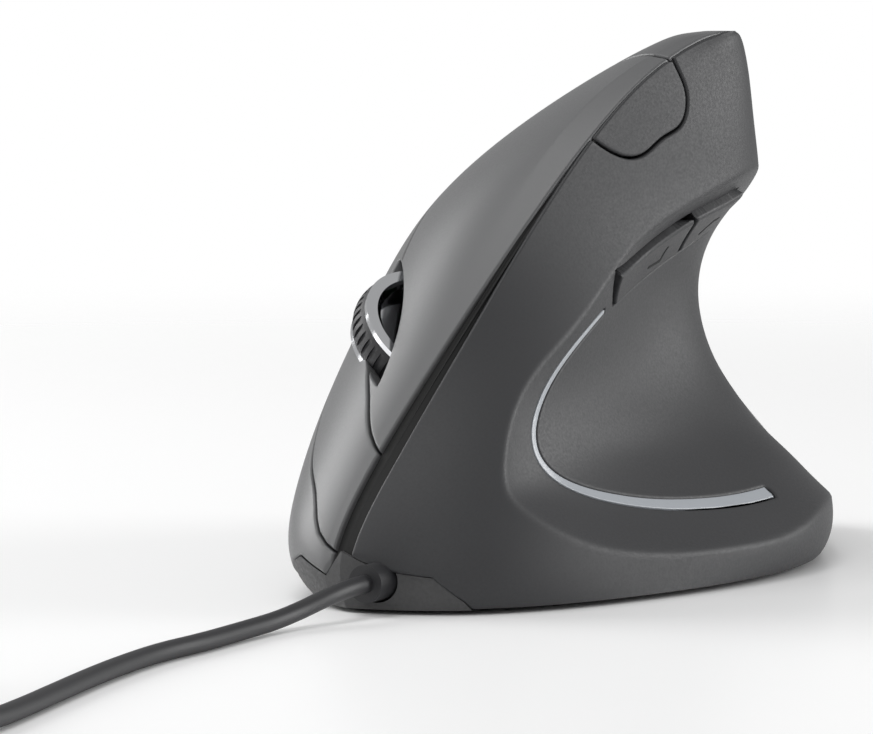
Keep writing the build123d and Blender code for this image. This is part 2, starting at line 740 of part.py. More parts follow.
with BuildPart() as thumb_shell:
    add(walls.part)
    add(thumb_zone.part, mode=Mode.INTERSECT)
    dpi_points = [side(share) for share in dpi_seam_share]
    extrude(ribbon(Plane.YZ, dpi_points, [clearance] * len(dpi_points)), amount=overrun, mode=Mode.SUBTRACT)

cover_shell, dpi_shell = thumb_shell.part.solids().sort_by(SortBy.VOLUME, reverse=True)
with BuildPart() as dpi_button:
    add(dpi_shell)
save(dpi_button.part, "dpi_button")

with BuildPart() as left_cover:
    add(cover_shell)
    for share in left_boss_share:
        add(boss(share, boss_radius))
    for share in side_peg_share:
        add(peg(share, side_board_place))
    for share in dpi_peg_share:
        add(peg(share, dpi_board_place))
    add(thumb_window.part, mode=Mode.SUBTRACT)
    add(accent_groove.part, mode=Mode.SUBTRACT)
    add(nose_space.part, mode=Mode.SUBTRACT)
save(left_cover.part, "left_cover")

def block(plane, low, high):
    """A block between two corners given in a plane's own frame."""
    with BuildPart() as solid:
        with Locations(plane.location * Location(low)):
            Box(*[top - bottom for bottom, top in zip(low, high)], align=(Align.MIN, Align.MIN, Align.MIN))
    return solid.part


def guides(grow):
    """The three guides of the wheel's cradle, grown all round where a hole for them is cut."""
    near = arm_radius + clearance - grow
    far = near + guide_width + 2 * grow
    back = cradle_half - cradle_arm + seat - grow
    front = cradle_half - seat + grow
    with BuildPart() as three:
        for across, along in ((-1, -1), (-1, 1), (1, -1)):
            low = (-frame_depth, min(across * near, across * far), min(along * back, along * front))
            high = (-guide_top, max(across * near, across * far), max(along * back, along * front))
            add(block(wheel_plane, low, high))
    return three.part


# Frame on three legs, with the hinge arms and the guides of the cradle
with BuildPart() as frame_plate:
    with BuildSketch(button_plane.offset(-frame_depth - frame_thickness)):
        Polygon(*[(x * body_length, y * body_length) for x, y in frame_share], align=None)
    extrude(amount=frame_thickness)

under_plate = button_plane.offset(-frame_depth - frame_thickness / 2)
with BuildPart() as frame_legs:
    with BuildSketch(Plane.XY.offset(plate_top)):
        with Locations(*[place(share) for share in frame_leg_share]):
            Circle(boss_radius)
    extrude(amount=overrun)
    add(block(under_plate, (-overrun, -overrun, -2 * overrun), (overrun, overrun, 0)), mode=Mode.INTERSECT)
    with BuildSketch(Plane.XY.offset(plate_top)):
        with Locations(*[place(share) for share in frame_leg_share]):
            Circle(screw_radius + seat)
    extrude(amount=boss_height - plate_top, mode=Mode.SUBTRACT)

with BuildPart() as inner_frame:
    add(frame_plate.part)
    add(frame_legs.part)
    for hinge in (index_hinge, middle_hinge):
        for start in (-hinge[3], hinge[3] - lug_thickness):
            with BuildSketch(hinge_plane(hinge).offset(start)):
                Circle(lug_radius)
                with Locations((hinge[1] - frame_depth - frame_thickness / 2, arm_reach)):
                    Circle(boss_radius)
                make_hull()
                Circle(pin_radius + seat, mode=Mode.SUBTRACT)
            extrude(amount=lug_thickness)
    add(block(under_plate, (-overrun, -overrun, 0), (overrun, overrun, overrun)).intersect(guides(0)))
    with BuildSketch(button_plane.offset(-frame_depth - frame_thickness)):
        with Locations(*[(x * body_length, y * body_length) for x, y in board_screw_share]):
            Circle(screw_radius + seat)
    extrude(amount=frame_thickness, mode=Mode.SUBTRACT)
save(inner_frame.part, "inner_frame")

with BuildPart() as button_board:
    with BuildSketch(button_plane.offset(-frame_depth)):
        Polygon(*[(x * body_length, y * body_length) for x, y in board_share], align=None)
        with Locations(*[(x * body_length, y * body_length) for x, y in board_screw_share]):
            Circle(screw_radius + seat, mode=Mode.SUBTRACT)
    extrude(amount=board_thickness)
    add(guides(clearance), mode=Mode.SUBTRACT)
save(button_board.part, "button_board")

with BuildPart() as frame_screws:
    with BuildSketch(button_plane.offset(board_thickness - frame_depth)):
        with Locations(*[(x * body_length, y * body_length) for x, y in board_screw_share]):
            Circle(screw_head_radius)
    extrude(amount=screw_head_height)
    with BuildSketch(button_plane.offset(-frame_depth - frame_thickness)):
        with Locations(*[(x * body_length, y * body_length) for x, y in board_screw_share]):
            Circle(screw_radius)
    extrude(amount=frame_thickness + board_thickness)
save(frame_screws.part, "frame_screws")


def switch(plane, length, width, height, plunger):
    """A switch body with its plunger on a board."""
    with BuildPart() as body:
        with BuildSketch(plane):
            Rectangle(length, width)
        extrude(amount=height)
        with BuildSketch(plane.offset(height)):
            Circle(width / 4)
        extrude(amount=plunger)
    return body.part


save(switch(on_board(index_switch_share, 0), switch_length, switch_width, switch_height, plunger_height),
     "index_switch")
save(switch(on_board(middle_switch_share, 0), switch_length, switch_width, switch_height, plunger_height),
     "middle_switch")
save(switch(on_board(wheel_switch_share, 0), wheel_switch_width, wheel_switch_width, wheel_switch_height,
            plunger_height), "wheel_switch")

# Spring that lifts the wheel's cradle
with BuildPart() as wheel_spring:
    with BuildLine() as spring_line:
        Helix(pitch=spring_pitch, height=spring_height, radius=spring_radius)
    with BuildSketch(Plane(origin=spring_line.line @ 0, z_dir=spring_line.line % 0)):
        Circle(spring_wire)
    sweep(path=spring_line.line, is_frenet=True)
spring_plane = on_board(wheel_spring_share, 2 * spring_wire)
save(wheel_spring.part.moved(spring_plane.location), "wheel_spring")

# Wheel: tyre, rims, axle, and the cradle that carries them with the encoder
turning = Axis(wheel_plane.origin, wheel_plane.z_dir)
wheel_profile = Plane(origin=wheel_plane.origin, x_dir=wheel_plane.x_dir, z_dir=-wheel_plane.y_dir)
tyre_inner = wheel_radius - tyre_depth
with BuildPart() as wheel_tyre:
    with BuildSketch(wheel_profile):
        with BuildLine():
            Line((tyre_inner + seat, -tyre_width / 2), (wheel_radius, -tyre_width / 2))
            ThreePointArc((wheel_radius, -tyre_width / 2), (wheel_radius + tyre_crown, 0),
                          (wheel_radius, tyre_width / 2))
            Line((wheel_radius, tyre_width / 2), (tyre_inner + seat, tyre_width / 2))
            Line((tyre_inner + seat, tyre_width / 2), (tyre_inner + seat, -tyre_width / 2))
        make_face()
    revolve(axis=turning)
    with Locations(wheel_plane.location):
        with PolarLocations(wheel_radius + tyre_crown, tyre_ribs):
            Box(2 * rib_depth, rib_width, tyre_width, mode=Mode.SUBTRACT)
save(wheel_tyre.part, "wheel_tyre")

half_width = tyre_width / 2
rim_edge = half_width + rim_thickness
rim_inner = wheel_radius - rim_depth
with BuildPart() as wheel_rims:
    with BuildSketch(wheel_profile):
        with BuildLine():
            Polyline((axle_radius + seat, -rim_edge), (hub_radius, -rim_edge), (hub_radius, -rim_thickness / 2),
                     (rim_inner, -rim_thickness / 2), (rim_inner, -half_width - seat),
                     (rim_inner + rim_thickness, -rim_edge), (wheel_radius, -rim_edge),
                     (wheel_radius, -half_width - seat), (tyre_inner, -half_width - seat),
                     (tyre_inner, half_width + seat), (wheel_radius, half_width + seat), (wheel_radius, rim_edge),
                     (rim_inner + rim_thickness, rim_edge), (rim_inner, half_width + seat),
                     (rim_inner, rim_thickness / 2), (hub_radius, rim_thickness / 2), (hub_radius, rim_edge),
                     (axle_radius + seat, rim_edge), close=True)
        make_face()
    revolve(axis=turning)
save(wheel_rims.part, "wheel_rims")

with BuildPart() as wheel_axle:
    with BuildSketch(wheel_plane.offset(-cradle_half - clearance)):
        Circle(axle_radius)
    extrude(amount=2 * (cradle_half + clearance) + encoder_thickness / 2)
save(wheel_axle.part, "wheel_axle")

with BuildPart() as wheel_cradle:
    for start in (-cradle_half, cradle_half - cradle_arm):
        with BuildSketch(wheel_plane.offset(start)):
            Circle(arm_radius)
            Rectangle(cradle_depth, 2 * arm_radius, align=(Align.MAX, Align.CENTER))
            Circle(axle_radius + running, mode=Mode.SUBTRACT)
        extrude(amount=cradle_arm)
    add(block(wheel_plane, (-cradle_depth, -arm_radius, -cradle_half),
              (cradle_base - cradle_depth, arm_radius, cradle_half)))
save(wheel_cradle.part, "wheel_cradle")

with BuildPart() as wheel_encoder:
    with BuildSketch(wheel_plane.offset(cradle_half)):
        with Locations((-arm_radius, 0)):
            Rectangle(3 * arm_radius, 3 * arm_radius)
        Circle(axle_radius + running, mode=Mode.SUBTRACT)
    extrude(amount=encoder_thickness)
save(wheel_encoder.part, "wheel_encoder")

# Main board on its posts, with the sensor over the window of the base
board_top = main_board_height + board_thickness
sensor = place(sensor_share)
with BuildPart() as main_board:
    with BuildSketch(Plane.XY.offset(main_board_height)):
        Polygon(*[(x * body_width, y * body_length) for x, y in main_board_share], align=None)
        with Locations(*[place(share) for share in screw_shares]):
            Circle(boss_radius + 2 * clearance, mode=Mode.SUBTRACT)
        with Locations(*[place(share) for share in board_post_share]):
            Circle(screw_radius + seat, mode=Mode.SUBTRACT)
        with Locations(sensor):
            Rectangle(sensor_width / 2, sensor_width / 2, mode=Mode.SUBTRACT)
    extrude(amount=board_thickness)
save(main_board.part, "main_board")

with BuildPart() as board_screws:
    with BuildSketch(Plane.XY.offset(board_top)):
        with Locations(*[place(share) for share in board_post_share]):
            Circle(screw_head_radius)
    extrude(amount=screw_head_height)
    with BuildSketch(Plane.XY.offset(plate_top + clearance)):
        with Locations(*[place(share) for share in board_post_share]):
            Circle(screw_radius)
    extrude(amount=board_top - plate_top - clearance)
save(board_screws.part, "board_screws")

with BuildPart() as base_screws:
    with BuildSketch(Plane.XY.offset(foot_height + seat)):
        with Locations(*[place(share) for share in screw_shares]):
            Circle(screw_head_radius)
    extrude(amount=screw_head_height)
    with BuildSketch(Plane.XY.offset(foot_height + seat + screw_head_height)):
        with Locations(*[place(share) for share in screw_shares]):
            Circle(screw_radius)
    extrude(amount=screw_reach)
save(base_screws.part, "base_screws")


def chip(share, bottom, length, width, height):
    """A flat part of a board, given by its middle, its underside and its size."""
    with BuildPart() as body:
        with BuildSketch(Plane.XY.offset(bottom)):
            with Locations(place(share)):
                Rectangle(length, width)
        extrude(amount=height)
    return body.part


save(chip(sensor_share, board_top, sensor_length, sensor_width, sensor_height), "sensor_chip")
save(chip(controller_share, board_top, chip_width, chip_width, chip_height), "controller_chip")
save(chip(connector_share, board_top, connector_length, connector_width, connector_height), "board_connector")

with BuildPart() as sensor_lens:
    add(chip(sensor_share, plate_top, lens_length, lens_width, lens_flange))
    with BuildSketch(Plane.XY.offset(plate_top)):
        with Locations(sensor):
            Circle(lens_radius)
    extrude(amount=main_board_height - plate_top - clearance)
save(sensor_lens.part, "sensor_lens")

with BuildPart() as tracking_led:
    with BuildSketch(Plane.XY.offset(main_board_height)):
        with Locations(place(led_share)):
            Circle(led_radius)
    extrude(amount=-led_height)
save(tracking_led.part, "tracking_led")

with BuildPart() as board_capacitor:
    with BuildSketch(Plane.XY.offset(board_top)):
        with Locations(place(capacitor_share)):
            Circle(capacitor_radius)
    extrude(amount=capacitor_height)
save(board_capacitor.part, "board_capacitor")


def upright_board(shares, pegs, board_place):
    """A board that stands on edge along the thumb side, with a hole for each of its pegs."""
    with BuildPart() as board:
        with BuildSketch(Plane.YZ.offset(board_place)):
            Polygon(*[(y * body_length, z * body_height) for y, z in shares], align=None)
            with Locations(*[side(share) for share in pegs]):
                Circle(peg_radius / 2 + seat, mode=Mode.SUBTRACT)
        extrude(amount=board_thickness)
    return board.part


save(upright_board(side_board_share, side_peg_share, side_board_place), "side_board")
save(upright_board(dpi_board_share, dpi_peg_share, dpi_board_place), "dpi_board")
for name, share, board_place in (("forward_switch", forward_switch_share, side_board_place),
                                 ("back_switch", back_switch_share, side_board_place),
                                 ("dpi_switch", dpi_switch_share, dpi_board_place)):
    y, z = side(share).X, side(share).Y
    seat_plane = Plane(origin=(board_place + board_thickness, y, z), x_dir=(0, 1, 0), z_dir=(1, 0, 0))
    save(switch(seat_plane, tact_width, tact_width, tact_height, tact_plunger), name)

# Strain relief through the nose, with the flange that holds it behind
exit_line = relief_share[0] * body_width
relief_plane = Plane(origin=(exit_line, -body_length / 2 - relief_out, exit_height), x_dir=(1, 0, 0),
                     z_dir=(0, 1, 0))
with BuildPart() as strain_relief:
    with BuildSketch(relief_plane):
        Circle(relief_radius)
    extrude(amount=relief_length)
    with BuildSketch(relief_plane.offset(relief_length)):
        Rectangle(flange_length, 2 * (exit_height - plate_top))
    extrude(amount=flange_thickness)
save(strain_relief.part, "strain_relief")


def run_lengths(points):
    """The length of each run of a line through points."""
    return [(Vector(b) - Vector(a)).length for a, b in zip(points, points[1:])]


def bend_radii(points, share):
    """The radius of each bend: a share of its shorter run over the tangent of half its turn."""
    radii = []
    runs = run_lengths(points)
    for index in range(1, len(points) - 1):
        back = Vector(points[index]) - Vector(points[index - 1])
        ahead = Vector(points[index + 1]) - Vector(points[index])
        half_turn = math.radians(back.get_angle(ahead)) / 2
        radii.append(share * min(runs[index - 1], runs[index]) / math.tan(half_turn))
    return radii


def tube(points, radius):
    """A round cord along a line of straight runs and wide bends."""
    with BuildPart() as swept:
        with BuildLine() as line:
            FilletPolyline(*points, radius=bend_radii(points, bend_share))
        start = line.line @ 0
        with BuildSketch(Plane(origin=start, z_dir=line.line % 0)):
            Circle(radius)
        sweep(path=line.line)
    return swept.part


# Lead from the relief's flange to the connector on the main board
lead_points = [(x * body_width, y * body_length, z * body_height) for x, y, z in lead_share]
with BuildPart() as cable_lead:
    add(tube(lead_points, lead_radius))
    add(chip(connector_share, board_top, connector_length, connector_width, connector_height),
        mode=Mode.SUBTRACT)
save(cable_lead.part, "cable_lead")

# Cord on the floor, then its coil, which lies beside the picture
cord_points = [(x * body_width, y * body_length, z * body_height) for x, y, z in cord_share]
cord = tube(cord_points, cord_radius)
save(cord, "cord")
print("cord bend radii", [round(radius, 1) for radius in bend_radii(cord_points, bend_share)])

coil_start = Vector(cord_points[-1])
step = coil_pitch / 2
widest = coil_middle_radius + (coil_half_turns / 2) * step
coil_radii = [widest - step * turn for turn in range(coil_half_turns + 1)]
half_turns = []
for layer in range(coil_layers):
    inwards = layer % 2 == 0
    flat_turns = coil_radii[:-1] if inwards else coil_radii[-2::-1]
    half_turns += [(radius, 0) for radius in flat_turns]
    climb = coil_radii[-1] if inwards else widest + step
    if layer < coil_layers - 1:
        half_turns.append((climb, step))
half_turns.append((widest + coil_pitch, 0))
last_drop = coil_start.Z + (coil_layers - 1) * coil_pitch - overmould_height / 2
half_turns.append((widest + 3 * step, -last_drop / 2))

coil_arcs = []
point = coil_start
heading = Vector(0, -1, 0)
for radius, rise in half_turns:
    centre = point + heading.rotate(Axis.Z, -90) * radius
    middle = centre + heading * math.sqrt(radius ** 2 + rise ** 2) + Vector(0, 0, rise)
    end = centre + (centre - point) + Vector(0, 0, 2 * rise)
    first = Edge.make_tangent_arc(point, heading, middle)
    second = Edge.make_tangent_arc(middle, first % 1, end)
    coil_arcs += [first, second]
    point = end
    heading = heading * -1
coil_end = point + heading * coil_tail
coil_arcs.append(Edge.make_line(point, coil_end))
print("coil length", round(sum(arc.length for arc in coil_arcs)))

with BuildPart() as cord_coil:
    with BuildSketch(Plane(origin=coil_start, z_dir=(0, -1, 0))):
        Circle(cord_radius)
    sweep(path=Wire(coil_arcs))
save(cord_coil.part, "cord_coil")
round_section = math.pi * cord_radius ** 2
print("cord volumes", round(cord.volume / (sum(run_lengths(cord_points)) * round_section), 4))
print("coil volumes", round(cord_coil.part.volume / (sum(arc.length for arc in coil_arcs) * round_section), 4))

# Least gap between strands: points along the coil against all points over a quarter turn away
samples = []
travelled = 0
for arc in coil_arcs:
    count = max(2, round(arc.length / cord_radius))
    samples += [(travelled + arc.length * index / count, arc @ (index / count)) for index in range(count)]
    travelled += arc.length
least = min((there - here).length for index, (before, here) in enumerate(samples)
            for after, there in samples[index + 1:] if after - before > 2 * coil_radii[-1])
print("coil least gap", round(least - 2 * cord_radius, 2))

# Tie round all strands on one side of the coil
middle_x = coil_start.X - widest - step / 2
tie_outer = coil_start.Y - widest - 3 * step - cord_radius - tie_gap
tie_inner = coil_start.Y - coil_radii[-1] + cord_radius + tie_gap
tie_top = coil_start.Z + (coil_layers - 1) * coil_pitch + cord_radius + tie_gap
with BuildPart() as cord_tie:
    add(block(Plane.XY, (middle_x - tie_width / 2, tie_outer - tie_thickness, seat),
              (middle_x + tie_width / 2, tie_inner + tie_thickness, tie_top + tie_thickness)))
    add(block(Plane.XY, (middle_x - tie_width, tie_outer, seat + tie_thickness),
              (middle_x + tie_width, tie_inner, tie_top)), mode=Mode.SUBTRACT)
save(cord_tie.part, "cord_tie")

# Plug at the coil's end, lying flat on the floor
plug_plane = Plane(origin=coil_end, x_dir=(1, 0, 0), z_dir=heading)
with BuildPart() as usb_overmould:
    with BuildSketch(plug_plane):
        RectangleRounded(overmould_width, overmould_height, overmould_round)
    extrude(amount=overmould_length)
save(usb_overmould.part, "usb_overmould")

with BuildPart() as usb_shell:
    with BuildSketch(plug_plane.offset(overmould_length)):
        Rectangle(shell_width, shell_height)
        Rectangle(shell_width - 2 * shell_wall, shell_height - 2 * shell_wall, mode=Mode.SUBTRACT)
    extrude(amount=shell_length)
save(usb_shell.part, "usb_shell")

with BuildPart() as usb_tongue:
    with BuildSketch(plug_plane.offset(overmould_length)):
        with Locations((0, shell_height / 2 - shell_wall - tongue_thickness / 2 - seat)):
            Rectangle(shell_width - 2 * shell_wall - 2 * seat, tongue_thickness)
    extrude(amount=shell_length - tongue_thickness)
save(usb_tongue.part, "usb_tongue")
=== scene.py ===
"""The look of a vertical ergonomic mouse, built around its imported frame.

The body's outer skin is a dense surface through guide lines. Each shell is carved out of that
skin along its seams, its edges are rounded and it gets its wall. Other pieces keep the frame's
meshes with their own finishes.
"""

import json
import logging
import math
from dataclasses import dataclass, field
from enum import Enum
from functools import cache
from typing import Callable, Optional, Sequence

import bpy
import numpy as np
from mathutils import Matrix, Vector


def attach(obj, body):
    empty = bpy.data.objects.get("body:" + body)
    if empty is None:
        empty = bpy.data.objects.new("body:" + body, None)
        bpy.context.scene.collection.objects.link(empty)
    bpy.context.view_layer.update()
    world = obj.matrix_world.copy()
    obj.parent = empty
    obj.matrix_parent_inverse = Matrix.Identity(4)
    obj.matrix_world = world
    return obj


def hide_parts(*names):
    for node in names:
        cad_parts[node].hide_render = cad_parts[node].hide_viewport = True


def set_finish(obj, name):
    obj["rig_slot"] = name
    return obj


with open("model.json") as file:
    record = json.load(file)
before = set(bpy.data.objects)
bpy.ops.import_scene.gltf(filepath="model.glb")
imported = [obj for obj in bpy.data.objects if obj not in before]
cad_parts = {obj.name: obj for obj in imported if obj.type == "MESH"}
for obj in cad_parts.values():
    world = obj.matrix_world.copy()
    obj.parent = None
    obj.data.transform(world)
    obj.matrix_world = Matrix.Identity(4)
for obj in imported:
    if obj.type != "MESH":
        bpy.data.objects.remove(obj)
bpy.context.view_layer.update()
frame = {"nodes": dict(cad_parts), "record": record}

log = logging.getLogger("mouse")

# The body's size in metres: width, length and height
BODY = np.array((0.064, 0.1164, 0.0752))
MM = 0.001
WALL = 2.0 * MM
SMOOTH_ANGLE = math.radians(32)
SHARP_ANGLE = math.radians(50)

# Rows and columns of the skin's grid on each side, and the columns of the band beside the ridge
SKIN_ROWS = 190
SKIN_COLUMNS = 230
BAND_COLUMNS = 14
TRACK_START = 0.1
TRACK_STEPS = 3000

# Points of seams and outlines, how far seams are drawn out, and every how many rows the ridge has one
LINE_POINTS = 44
OUTLINE_POINTS = 40
ACCENT_POINTS = 80
SEAM_REACH = 0.05
SPLIT_REACH = 0.01
RIDGE_STEP = 5

# Halvings in the search for a cut, and the smallest gaps and lengths that count
SEARCH_STEPS = 4
SNAP = 1e-7
NEARER_BY = 1e-9
SHORTEST = 1e-12
SHORTEST_SQUARED = 1e-14

# Radii of rounded edges, and the shares of a radius that the skin gets points at
EDGE_ROUNDING = 0.35 * MM
KEY_ROUNDING = 0.5 * MM
STRIP_ROUNDING = 0.12 * MM
SHARP_EDGE = 0.02 * MM
ROUNDING_STEPS = (0.0, 0.04, 0.16, 0.38, 0.7, 1.0)

# Half widths of the seams, and the gaps round other pieces
SEAM_HALF = 0.16 * MM
SPLIT_HALF = 0.15 * MM
PARTING_HALF = 0.12 * MM
NOSE_GAP = 0.15 * MM
NOSE_REAR = 0.046
STRIP_GAP = 0.08 * MM
STRIP_SINK = 0.06 * MM
STRIP_WALL = 0.8 * MM
# The black strip under the ridge gap is painted shade: how far inside the gap it stays, and its wall
SHADE_GAP = 0.05 * MM
SHADE_WALL = 0.4 * MM
MARK_LIFT = 0.05 * MM
MARK_WALL = 0.1 * MM

# How far the thumb buttons' window and outline are grown in front, above, behind and below
WINDOW_GROW = (1.1 * MM, 0.7 * MM, 0.3 * MM, 0.05 * MM)
KEY_GROW = (-0.1 * MM, -0.2 * MM, -0.15 * MM, 0.1 * MM)

# From the shares' own axes to the frame's origin
SHIFT = np.array((1.390, 1.262, 0.0)) * MM

LEVELS = (0.000, 0.106, 0.266, 0.479, 0.665, 0.811, 0.918, 0.973, 0.993, 1.000)
TOP_POINT = (0.2385, 0.0985, 1.0)
TOP_SHARES = (0.35, 0.7, 0.999)

# Guide lines of the skin: where each crosses the levels, in shares of width and length
GUIDES = {
    "ridge": ((-0.072, -0.500), (-0.091, -0.495), (-0.045, -0.440), (0.030, -0.340), (0.092, -0.236),
              (0.142, -0.143), (0.188, -0.056), (0.222, 0.017), (0.241, 0.057), (0.248, 0.084)),
    "nose_left": ((0.163, -0.448), (0.175, -0.443), (0.133, -0.397), (0.141, -0.271), (0.172, -0.137),
                  (0.206, -0.052), (0.231, 0.009), (0.247, 0.053), (0.256, 0.079), (0.258, 0.091)),
    "flank": ((0.369, -0.258), (0.359, -0.258), (0.309, -0.241), (0.269, -0.103), (0.256, 0.009),
              (0.263, 0.052), (0.264, 0.077), (0.266, 0.090), (0.263, 0.097), (0.259, 0.097)),
    "heel_left": ((0.416, 0.142), (0.456, 0.137), (0.400, 0.129), (0.312, 0.120), (0.281, 0.125),
                  (0.275, 0.125), (0.270, 0.120), (0.264, 0.116), (0.261, 0.112), (0.255, 0.103)),
    "rear_left": ((0.266, 0.322), (0.294, 0.326), (0.211, 0.318), (0.117, 0.284), (0.164, 0.258),
                  (0.194, 0.223), (0.225, 0.176), (0.245, 0.142), (0.250, 0.124), (0.253, 0.110)),
    "spine": ((0.078, 0.477), (0.094, 0.490), (-0.016, 0.428), (-0.098, 0.376), (0.016, 0.342),
              (0.133, 0.284), (0.188, 0.223), (0.223, 0.166), (0.234, 0.137), (0.237, 0.117)),
    "rear_right": ((-0.266, 0.442), (-0.281, 0.455), (-0.281, 0.425), (-0.273, 0.374), (-0.156, 0.326),
                   (-0.016, 0.279), (0.094, 0.220), (0.164, 0.163), (0.188, 0.134), (0.216, 0.113)),
    "palm": ((-0.484, 0.069), (-0.516, 0.069), (-0.505, 0.069), (-0.442, 0.086), (-0.333, 0.103),
             (-0.180, 0.107), (-0.008, 0.099), (0.100, 0.090), (0.145, 0.095), (0.197, 0.100)),
    "finger": ((-0.336, -0.309), (-0.391, -0.322), (-0.375, -0.305), (-0.341, -0.215), (-0.272, -0.137),
               (-0.145, -0.056), (0.006, 0.009), (0.109, 0.041), (0.155, 0.064), (0.200, 0.088)),
    "index": ((-0.156, -0.466), (-0.206, -0.474), (-0.180, -0.423), (-0.117, -0.328), (-0.062, -0.232),
              (0.023, -0.140), (0.109, -0.052), (0.164, 0.011), (0.191, 0.046), (0.219, 0.079)),
}
LEFT_GUIDES = ("ridge", "nose_left", "flank", "heel_left", "rear_left", "spine")
RIGHT_GUIDES = ("spine", "rear_right", "palm", "finger", "index")

BAND_WIDTH = 4.4 * MM
BAND_RISE = 0.5 * MM
BAND_SHARES = (0.55, 0.70, 0.75, 0.85, 1.0, 1.15, 0.95, 0.55, 0.30, 0.20)

RIDGE_GAP = 1.5 * MM
RIDGE_DEPTH = 0.7 * MM
RIDGE_GAP_SHARES = (0.85, 0.95, 1.0, 0.70, 0.38, 0.18, 0.14, 0.14, 0.14, 0.14)

# The thumb scoop: its depth in shares of width, at stations along the body and heights
SCOOP_STATIONS = (-0.498, -0.395, -0.258, -0.086, 0.043, 0.146, 0.258, 0.361, 0.464, 0.567)
SCOOP_HEIGHTS = (0.053, 0.106, 0.150, 0.194, 0.243, 0.293, 0.359, 0.426, 0.499, 0.576, 0.630, 0.677,
                 0.739, 0.798)
SCOOP_DEPTHS = (
    (0.516, 0.430, 0.362, 0.302, 0.275, 0.266, 0.261, 0.266,
     0.281, 0.312, 0.344, 0.375, 0.422, 0.469),
    (0.422, 0.336, 0.269, 0.208, 0.181, 0.172, 0.167, 0.172,
     0.188, 0.219, 0.250, 0.281, 0.328, 0.375),
    (0.422, 0.334, 0.272, 0.225, 0.191, 0.172, 0.163, 0.172,
     0.197, 0.234, 0.266, 0.303, 0.352, 0.398),
    (0.492, 0.400, 0.334, 0.275, 0.222, 0.189, 0.159, 0.150,
     0.156, 0.181, 0.216, 0.256, 0.312, 0.366),
    (0.523, 0.447, 0.381, 0.319, 0.259, 0.212, 0.169, 0.145,
     0.139, 0.156, 0.194, 0.237, 0.295, 0.348),
    (0.539, 0.466, 0.406, 0.350, 0.284, 0.231, 0.175, 0.141,
     0.127, 0.139, 0.170, 0.212, 0.270, 0.328),
    (0.453, 0.378, 0.312, 0.250, 0.178, 0.122, 0.067, 0.031,
     0.016, 0.041, 0.084, 0.134, 0.197, 0.266),
    (0.305, 0.234, 0.172, 0.109, 0.039, -0.023, -0.055, -0.078,
     -0.086, -0.055, 0.000, 0.062, 0.148, 0.234),
    (0.179, 0.112, 0.052, -0.010, -0.079, -0.147, -0.158, -0.171,
     -0.172, -0.136, -0.072, 0.001, 0.107, 0.208),
    (0.060, -0.003, -0.060, -0.123, -0.190, -0.263, -0.256, -0.259,
     -0.254, -0.212, -0.139, -0.056, 0.069, 0.183),
)
SCOOP_BLEND = 0.5 * MM
SCOOP_COLUMNS = 160
SCOOP_ROWS = 130
SCOOP_BELOW = 4 * MM
SCOOP_ABOVE = 6 * MM
SLOPE_BELOW = 1.6
SLOPE_ABOVE = 1.5
SLOPE_BEYOND = 3

# Seams as points of the skin, in shares of width, length and height
MIDDLE_SEAM = ((0.022, -0.485, 0.197), (-0.044, -0.443, 0.257), (-0.073, -0.436, 0.275),
               (-0.111, -0.418, 0.307), (-0.148, -0.385, 0.358), (-0.194, -0.343, 0.410),
               (-0.247, -0.217, 0.584), (-0.250, -0.120, 0.665), (-0.203, -0.026, 0.758),
               (-0.148, 0.073, 0.831), (-0.119, 0.113, 0.883))
LOWER_SEAM = ((-0.081, -0.503, 0.096), (-0.120, -0.495, 0.110), (-0.161, -0.484, 0.129),
              (-0.203, -0.453, 0.184), (-0.258, -0.410, 0.227), (-0.308, -0.358, 0.273),
              (-0.375, -0.266, 0.359), (-0.430, -0.129, 0.452), (-0.430, 0.000, 0.539),
              (-0.383, 0.103, 0.612))
REAR_SEAM = ((0.250, -0.022, 0.957), (0.198, -0.015, 0.955), (0.134, -0.006, 0.957),
             (0.047, 0.017, 0.938), (-0.062, 0.052, 0.884), (-0.188, 0.086, 0.805),
             (-0.297, 0.112, 0.698), (-0.383, 0.105, 0.608), (-0.414, 0.098, 0.572))
BUTTON_ORIGIN = (-0.203, -0.292, 0.492)
BUTTON_NORMAL = Vector((-0.52, -0.52, 0.68)).normalized()
SLOT_ORIGIN = (-0.210, -0.294, 0.492)
SLOT_LENGTH = 26.5 * MM
SLOT_WIDTH = 7.0 * MM
WHEEL_OUT = Vector((-0.709, -0.586, 0.393)).normalized()
WHEEL_AXIS = Vector((0.632, -0.281, 0.722)).normalized()

# Outlines seen from the thumb side, in shares of length and height
DPI_SEAM = ((-0.007, 0.976), (-0.004, 0.928), (0.004, 0.895), (0.004, 0.866), (-0.008, 0.830),
            (-0.038, 0.807), (-0.068, 0.779), (-0.086, 0.773), (-0.113, 0.783), (-0.143, 0.811),
            (-0.165, 0.832))
ACCENT = ((-0.142, 0.496), (-0.211, 0.444), (-0.260, 0.387), (-0.289, 0.336), (-0.303, 0.294),
          (-0.303, 0.259), (-0.290, 0.227), (-0.261, 0.198), (-0.213, 0.174), (-0.156, 0.157),
          (-0.076, 0.146), (-0.003, 0.144), (0.058, 0.149))
ACCENT_WIDTHS = (0.56, 0.60, 0.66, 0.72, 0.80, 0.88, 0.96, 1.0, 1.0, 1.0, 1.0, 1.0, 1.0)
ACCENT_WIDTH = 1.25 * MM
THUMB_TOP = ((-0.131, 0.564), (-0.070, 0.589), (-0.024, 0.622), (0.016, 0.649), (0.061, 0.670),
             (0.128, 0.696))
THUMB_LOW = ((-0.100, 0.503), (-0.052, 0.527), (0.017, 0.562), (0.086, 0.601), (0.128, 0.624))
THUMB_SPLIT = ((0.008, 0.668), (0.037, 0.634), (0.056, 0.597), (0.072, 0.560))
CHEVRON_FRONT = ((-0.019, 0.566), (0.011, 0.576), (0.006, 0.601))
